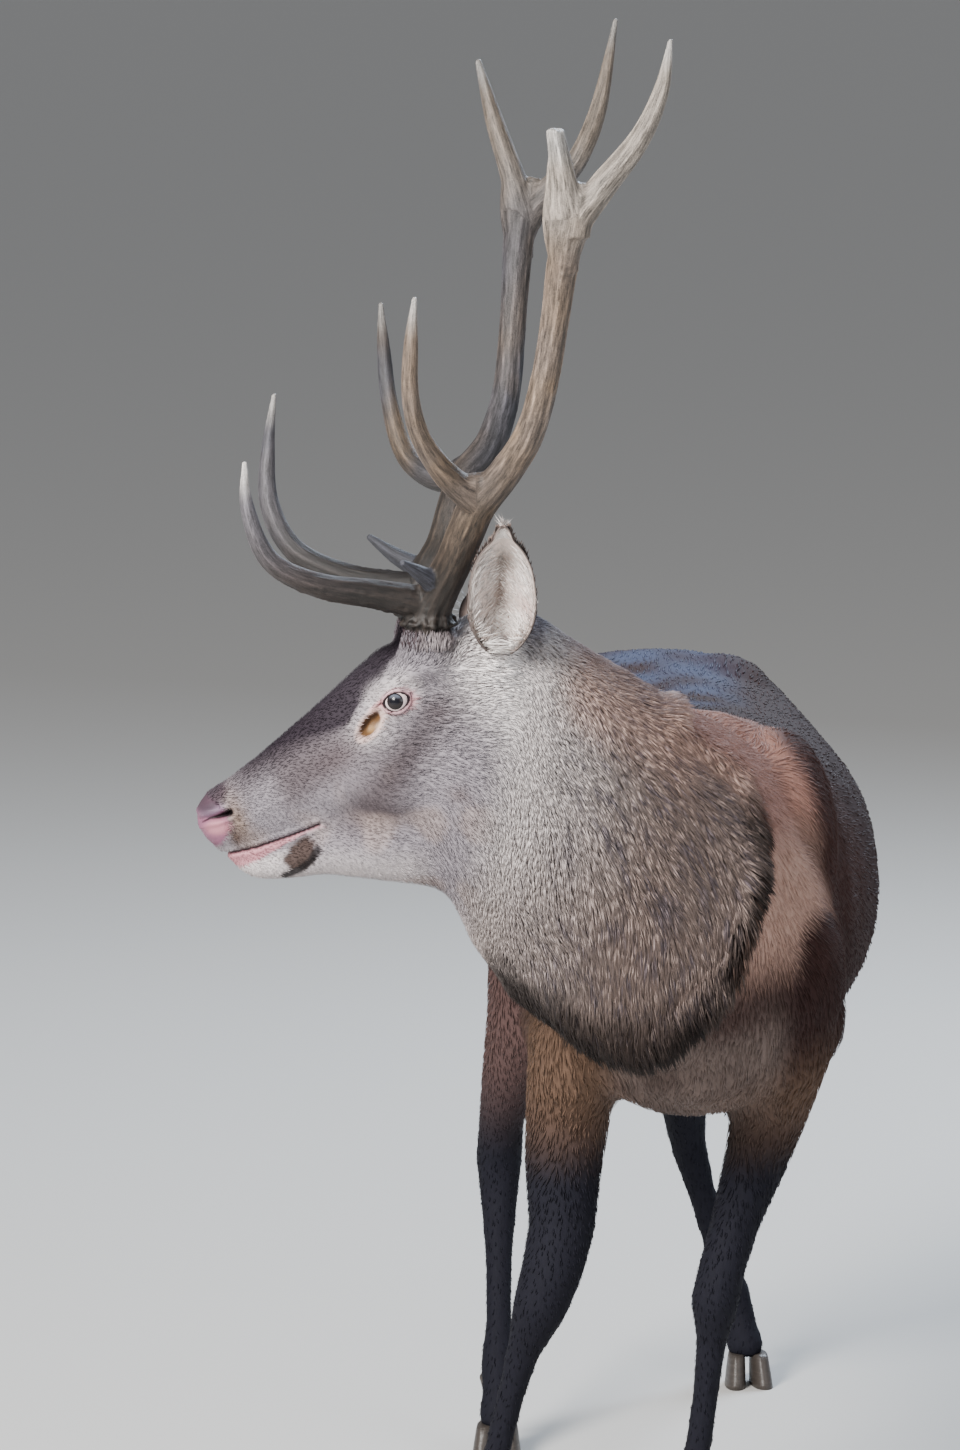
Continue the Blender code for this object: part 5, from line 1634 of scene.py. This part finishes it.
def antler_colour(side, points, found, grooves, height, tip):
    """Brown below and on the ridges, slate on the low tines, pale crown, ivory tips; the far antler gets
    painted shade: more slate, less gold and pale, and dimmer.
    """
    tine, run, _, length, _ = found.T
    crown, low = tine >= CROWN, (tine == BROW) | (tine == BEZ)
    start = np.where(crown, 0.6, 0.25)
    share = np.clip(np.where(tine == 0, 0.60 * run / length, start + (1 - start) * run / length), 0, 1)
    near = side == "left"
    # slate: painted shade on the far antler, and the slate of the low tines
    slate_and_shade = (0.30 if near else 0.85) * np.clip(0.75 + 0.5 * sway(points, 0.12, 61), 0, 1)
    slate_and_shade = np.maximum(slate_and_shade, 0.80 * low * ramp(share, 0.30, 0.50))
    slate_and_shade = slate_and_shade * ramp(height + 0.1 * low, 0.05, 0.20) * ramp(0.62 - height, 0, 0.12)
    colour = blend(even(points, BONE_BROWN), BONE_SLATE_AND_SHADE, slate_and_shade)
    gold = ramp(sway(points, 0.09, 62), 0.2, 1.2) * ramp(height, 0.15, 0.30) * (0.55 if near else 0.15)
    colour = blend(colour, BONE_GOLD, gold * ramp(0.72 - share, 0, 0.2))
    colour = blend(colour, BONE_PALE, (0.75 if near else 0.40) * ramp(height, 0.46, 0.56))
    colour = blend(colour, BONE_DARK, 0.92 * ramp(-height, -0.17, -0.04))
    colour = colour * (1 - 0.45 * ramp(0.27 - height, 0, 0.12) * ramp(0.62 - share * low, 0, 0.25))[:, None]
    colour = blend(colour, BONE_SLATE_AND_SHADE, 0.6 * (tine == BEZ))
    colour = blend(colour, BONE_IVORY, 0.90 * ramp(-tip, -0.055, -0.008))
    ridges = np.clip(0.5 + 0.55 * grooves, 0, 1) ** 1.6
    colour = blend(colour * (0.30 + 1.05 * ridges)[:, None], BONE_RIDGE,
                   0.40 * ramp(ridges, 0.70, 1.05) * ramp(height, 0.18, 0.35))
    # the far antler dimmed to 0.60 as painted shade
    return colour * (1.0 if near else 0.60) * (1 + 0.5 * (tine == BROW) * ramp(share, 0.45, 0.70))[:, None]


def antler(side):
    routes = antler_routes(side)
    burr = off_head((0.0, half(side) * 0.051, BURR_HEIGHT))
    mesh = voxel_wrap(antler_form(side, routes, burr), f"antler_{side}", ANTLER_VOXEL)
    edges = mesh_edges(mesh)
    points = ease(mesh_points(mesh), edges, 7)
    move_to(mesh, points)
    found = tube_places(points, routes[:6])
    tine, run, turn, length, _ = found.T
    height = points[:, 2] - burr[2]
    tip = np.where((tine == 0) | (tine == BEZ), 0.3, length - run)
    worn = 0.85 * ramp(-tip, -0.16, -0.03)
    grooves = antler_grooves(points, edges, found)
    lumps = sway(points, 0.013, 50) * sway(points, 0.021, 51) * ramp(0.09 - height, 0, 0.07)
    relief = (1 - worn) * (0.0011 * grooves + 0.0008 * np.clip(lumps, 0, 1.5))
    relief = relief * (1 - ramp(-height, 0.0, 0.006))      # none below the burr
    move_to(mesh, points + mesh_normals(mesh) * relief[:, None])
    colour = antler_colour(side, points, found, grooves, height, tip)
    paint(mesh, np.clip(ease(colour, edges, 2), 0, 1), worn=worn)
    grain = mesh.attributes.new("grain", "FLOAT_VECTOR", "POINT")
    along = np.stack((0.02 * np.cos(turn) + 0.3 * tine, 0.02 * np.sin(turn), 0.12 * run), -1)
    grain.data.foreach_set("vector", along.astype(np.float32).ravel())
    mesh.shade_smooth()
    mesh.materials.clear()
    mesh.materials.append(BONE)
    piece = show(mesh, f"antler_{side}")
    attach(piece, "root")
    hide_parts(*(f"antler_{side}_{part}" for part in ("base", "beam", "crown", "brow", "bez", "trez")))
    print("antler", side, len(points), "points")


def bone_finish():
    bone = Finish("antler_bone", Specular_IOR_Level=0.42)
    grain = bone.attribute("grain")
    worn = bone.attribute("worn", number=True)
    streaks = bone.noise(330, detail=6, rough=0.72, place=grain)
    pits = bone.noise(650, detail=3)
    stain = bone.noise(28, (1, 1, 0.5), detail=4)
    light = (streaks * 4.2 + pits * 1.4 - 2.15 + stain * 0.5).at_least(0.22)
    bone.set("Base Color", bone.shade(bone.attribute("tone"), light))
    bone.set("Roughness", (1 - worn) * 0.20 + (streaks * 0.25 + 0.26))
    bone.bump(streaks + pits * 0.4, 0.7, 0.0014)
    return bone.material


BONE = bone_finish()
for side in SIDES:
    antler(side)

# %% [markdown]
# ## The eyes
# An eyeball is a finely turned sphere with a bulging cornea, its poles on the axis of sight. Its
# colour comes from the distance off that axis: a wide, nearly black pupil, a dark iris whose upper
# part carries a painted grey-blue reflection of the sky, a black limbus and a pink white. A clear
# coat gives it its wet gloss.

# %% Eyes
def eye_finish():
    wet = Finish("eye_wet", Roughness=0.25, Coat_Weight=0.3, Coat_Roughness=0.02, Specular_IOR_Level=0.1)
    veins = wet.noise(500, detail=3)
    wet.set("Base Color", wet.shade(wet.attribute("tone"), veins * 0.3 + 0.85))
    return wet.material


EYE_WET = eye_finish()


EYE_WHITE = (0.62, 0.50, 0.50)
LIMBUS = (0.008, 0.007, 0.008)
IRIS = (0.016, 0.013, 0.014)
IRIS_SKY_REFLECTION = (0.110, 0.125, 0.160)
PUPIL = (0.006, 0.006, 0.009)


def eye_tone(flat):
    """Colours of an eyeball's points, which are in radii, across, up and along the sight."""
    x, y, z = flat.T
    behind = 9 * (z < 0)
    off = np.hypot(x, y) + behind
    rays = 0.75 + 0.25 * np.sin(31 * np.arctan2(y, x))
    colour = blend(even(flat, EYE_WHITE), LIMBUS, ramp(0.63 - off, 0.0, 0.03))
    colour = blend(colour, IRIS, ramp(0.56 - off, 0.0, 0.05) * rays)
    # painted grey-blue reflection of the sky on the upper iris
    colour = blend(colour, IRIS_SKY_REFLECTION, 0.7 * ramp(0.56 - off, 0.0, 0.06) * ramp(y, 0.16, 0.40))
    return blend(colour, PUPIL, ramp(1.0 - np.hypot(x / 0.40, y / 0.26) - behind, 0.0, 0.10))


def eyeball(side):
    centre = off_head(EYE * (1, half(side), 1))
    sight = unit(EYE_AXIS + np.array((0.05, 0.0, 0.02))) * (1, half(side), 1)
    axis = sight @ np.stack((FORWARD, LEFT, UP))
    level = unit(np.cross(UP, axis))
    form = bmesh.new()
    bmesh.ops.create_uvsphere(form, u_segments=56, v_segments=48, radius=EYE_RADIUS - 0.0004)
    turn = Matrix((level, np.cross(axis, level), axis)).transposed().to_4x4()
    for corner in form.verts:
        off_axis = math.atan2(math.hypot(corner.co.x, corner.co.y), corner.co.z)
        corner.co *= 1 + 0.045 * math.exp(-(off_axis / 0.42) ** 2)
    flat = np.array([corner.co for corner in form.verts]) / EYE_RADIUS
    bmesh.ops.transform(form, verts=form.verts, matrix=Matrix.Translation(centre) @ turn)
    mesh = bpy.data.meshes.new(f"eye_{side}")
    form.to_mesh(mesh)
    form.free()
    paint(mesh, eye_tone(flat))
    mesh.shade_smooth()
    mesh.materials.append(EYE_WET)
    piece = show(mesh, f"eyeball_{side}")
    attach(piece, "root")
    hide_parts(f"eye_{side}")


for side in SIDES:
    eyeball(side)
print("eyes", EYE_RADIUS * 2)

# %% [markdown]
# ## The hooves
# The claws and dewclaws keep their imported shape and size. Copies are merged and rounded by a
# subdivision surface, with the rim of each flat sole creased so that it still stands on the floor.
# The horn is nearly black, ringed by growth, with paler chips.

# %% Hooves
HORN_DARK = (0.012, 0.010, 0.010, 1)
HORN_PALE = (0.085, 0.070, 0.060, 1)


def horn_finish():
    horn = Finish("hoof_horn_dark", Specular_IOR_Level=0.45)
    rings = horn.noise(60, (0.15, 0.15, 6.0), detail=3)
    chips = horn.noise(260, detail=4)
    horn.set("Base Color", horn.tint(HORN_DARK, HORN_PALE, rings * 0.6 + chips * 0.35))
    horn.set("Roughness", chips * 0.35 + 0.25)
    horn.bump(rings + chips * 0.4, 0.6, 0.0015)
    return horn.material


HORN = horn_finish()


def hoof(node):
    form = bmesh.new()
    form.from_mesh(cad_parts[node].data)
    bmesh.ops.remove_doubles(form, verts=form.verts, dist=1e-5)
    bmesh.ops.dissolve_limit(form, angle_limit=math.radians(2), verts=form.verts, edges=form.edges)
    crease = form.edges.layers.float.new("crease_edge")
    for edge in form.edges:
        if all(corner.co.z < 0.0008 for corner in edge.verts):
            edge[crease] = 1.0
        elif edge.calc_face_angle(0) > math.radians(50):
            edge[crease] = 0.45
    mesh = bpy.data.meshes.new(f"{node}_horn")
    form.to_mesh(mesh)
    form.free()
    mesh.shade_smooth()
    mesh.materials.append(HORN)
    piece = show(mesh, f"{node}_horn")
    soft = piece.modifiers.new("round", "SUBSURF")
    soft.levels = soft.render_levels = 2
    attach(piece, "root")
    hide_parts(node)


for node in sorted(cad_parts):
    if "claw" in node:
        hoof(node)
print("hooves done")

# %% [markdown]
# ## Floor, light and camera
# A plain pale floor and soft studio light show the stag as in a bright hall. The camera stands well
# before the stag, a little above its back and looking down, with the near feet below the frame.

# %% Stage
def stage():
    form = bmesh.new()
    bmesh.ops.create_grid(form, x_segments=1, y_segments=1, size=110.0)
    mesh = bpy.data.meshes.new("floor")
    form.to_mesh(mesh)
    form.free()
    floor = show(mesh, "floor")
    plain = Finish("floor_pale", Roughness=0.85, Base_Color=(0.56, 0.545, 0.52, 1.0))
    mesh.materials.append(plain.material)


def lamp(name, place, aim, size, power, colour):
    light = bpy.data.lights.new(name, "AREA")
    light.shape = "DISK"
    light.size = size
    light.energy = power
    light.color = colour
    item = bpy.data.objects.new(name, light)
    SCENE.collection.objects.link(item)
    place = Vector(GROUND) + Vector(place)
    aim = Vector(GROUND) + Vector(aim)
    item.location = place
    item.rotation_euler = (aim - place).to_track_quat("-Z", "Y").to_euler()


LAMPS = (                      # name, place, aim, size, power and colour
    ("key", (-3.4, -4.4, 4.4), (-0.1, 0.0, 1.2), 2.6, 1150, (1.0, 0.97, 0.93)),
    ("fill", (4.5, -4.5, 2.6), (0.0, 0.2, 0.9), 3.2, 110, (0.90, 0.95, 1.0)),
    ("back", (1.8, 4.4, 4.4), (0.0, 0.4, 1.1), 2.6, 420, (0.72, 0.84, 1.0)),
)
stage()
for row in LAMPS:
    lamp(*row)
world = bpy.data.worlds.new("studio")
world.use_nodes = True
sky = world.node_tree.nodes["Background"]
sky.inputs["Color"].default_value = (0.80, 0.83, 0.88, 1.0)
sky.inputs["Strength"].default_value = 0.40
SCENE.world = world

CAMERA_STAND = np.array((-0.28, -9.0, 2.47))
CAMERA_PITCH = math.radians(8.06)
SENSOR_WIDTH = 36.0
LENS = 168.8276
optics = bpy.data.cameras.new("camera")
optics.sensor_width = SENSOR_WIDTH
optics.lens = LENS
camera = bpy.data.objects.new("camera", optics)
SCENE.collection.objects.link(camera)
camera.location = GROUND + CAMERA_STAND
camera.rotation_euler = (math.radians(90) - CAMERA_PITCH, 0, 0)
SCENE.camera = camera
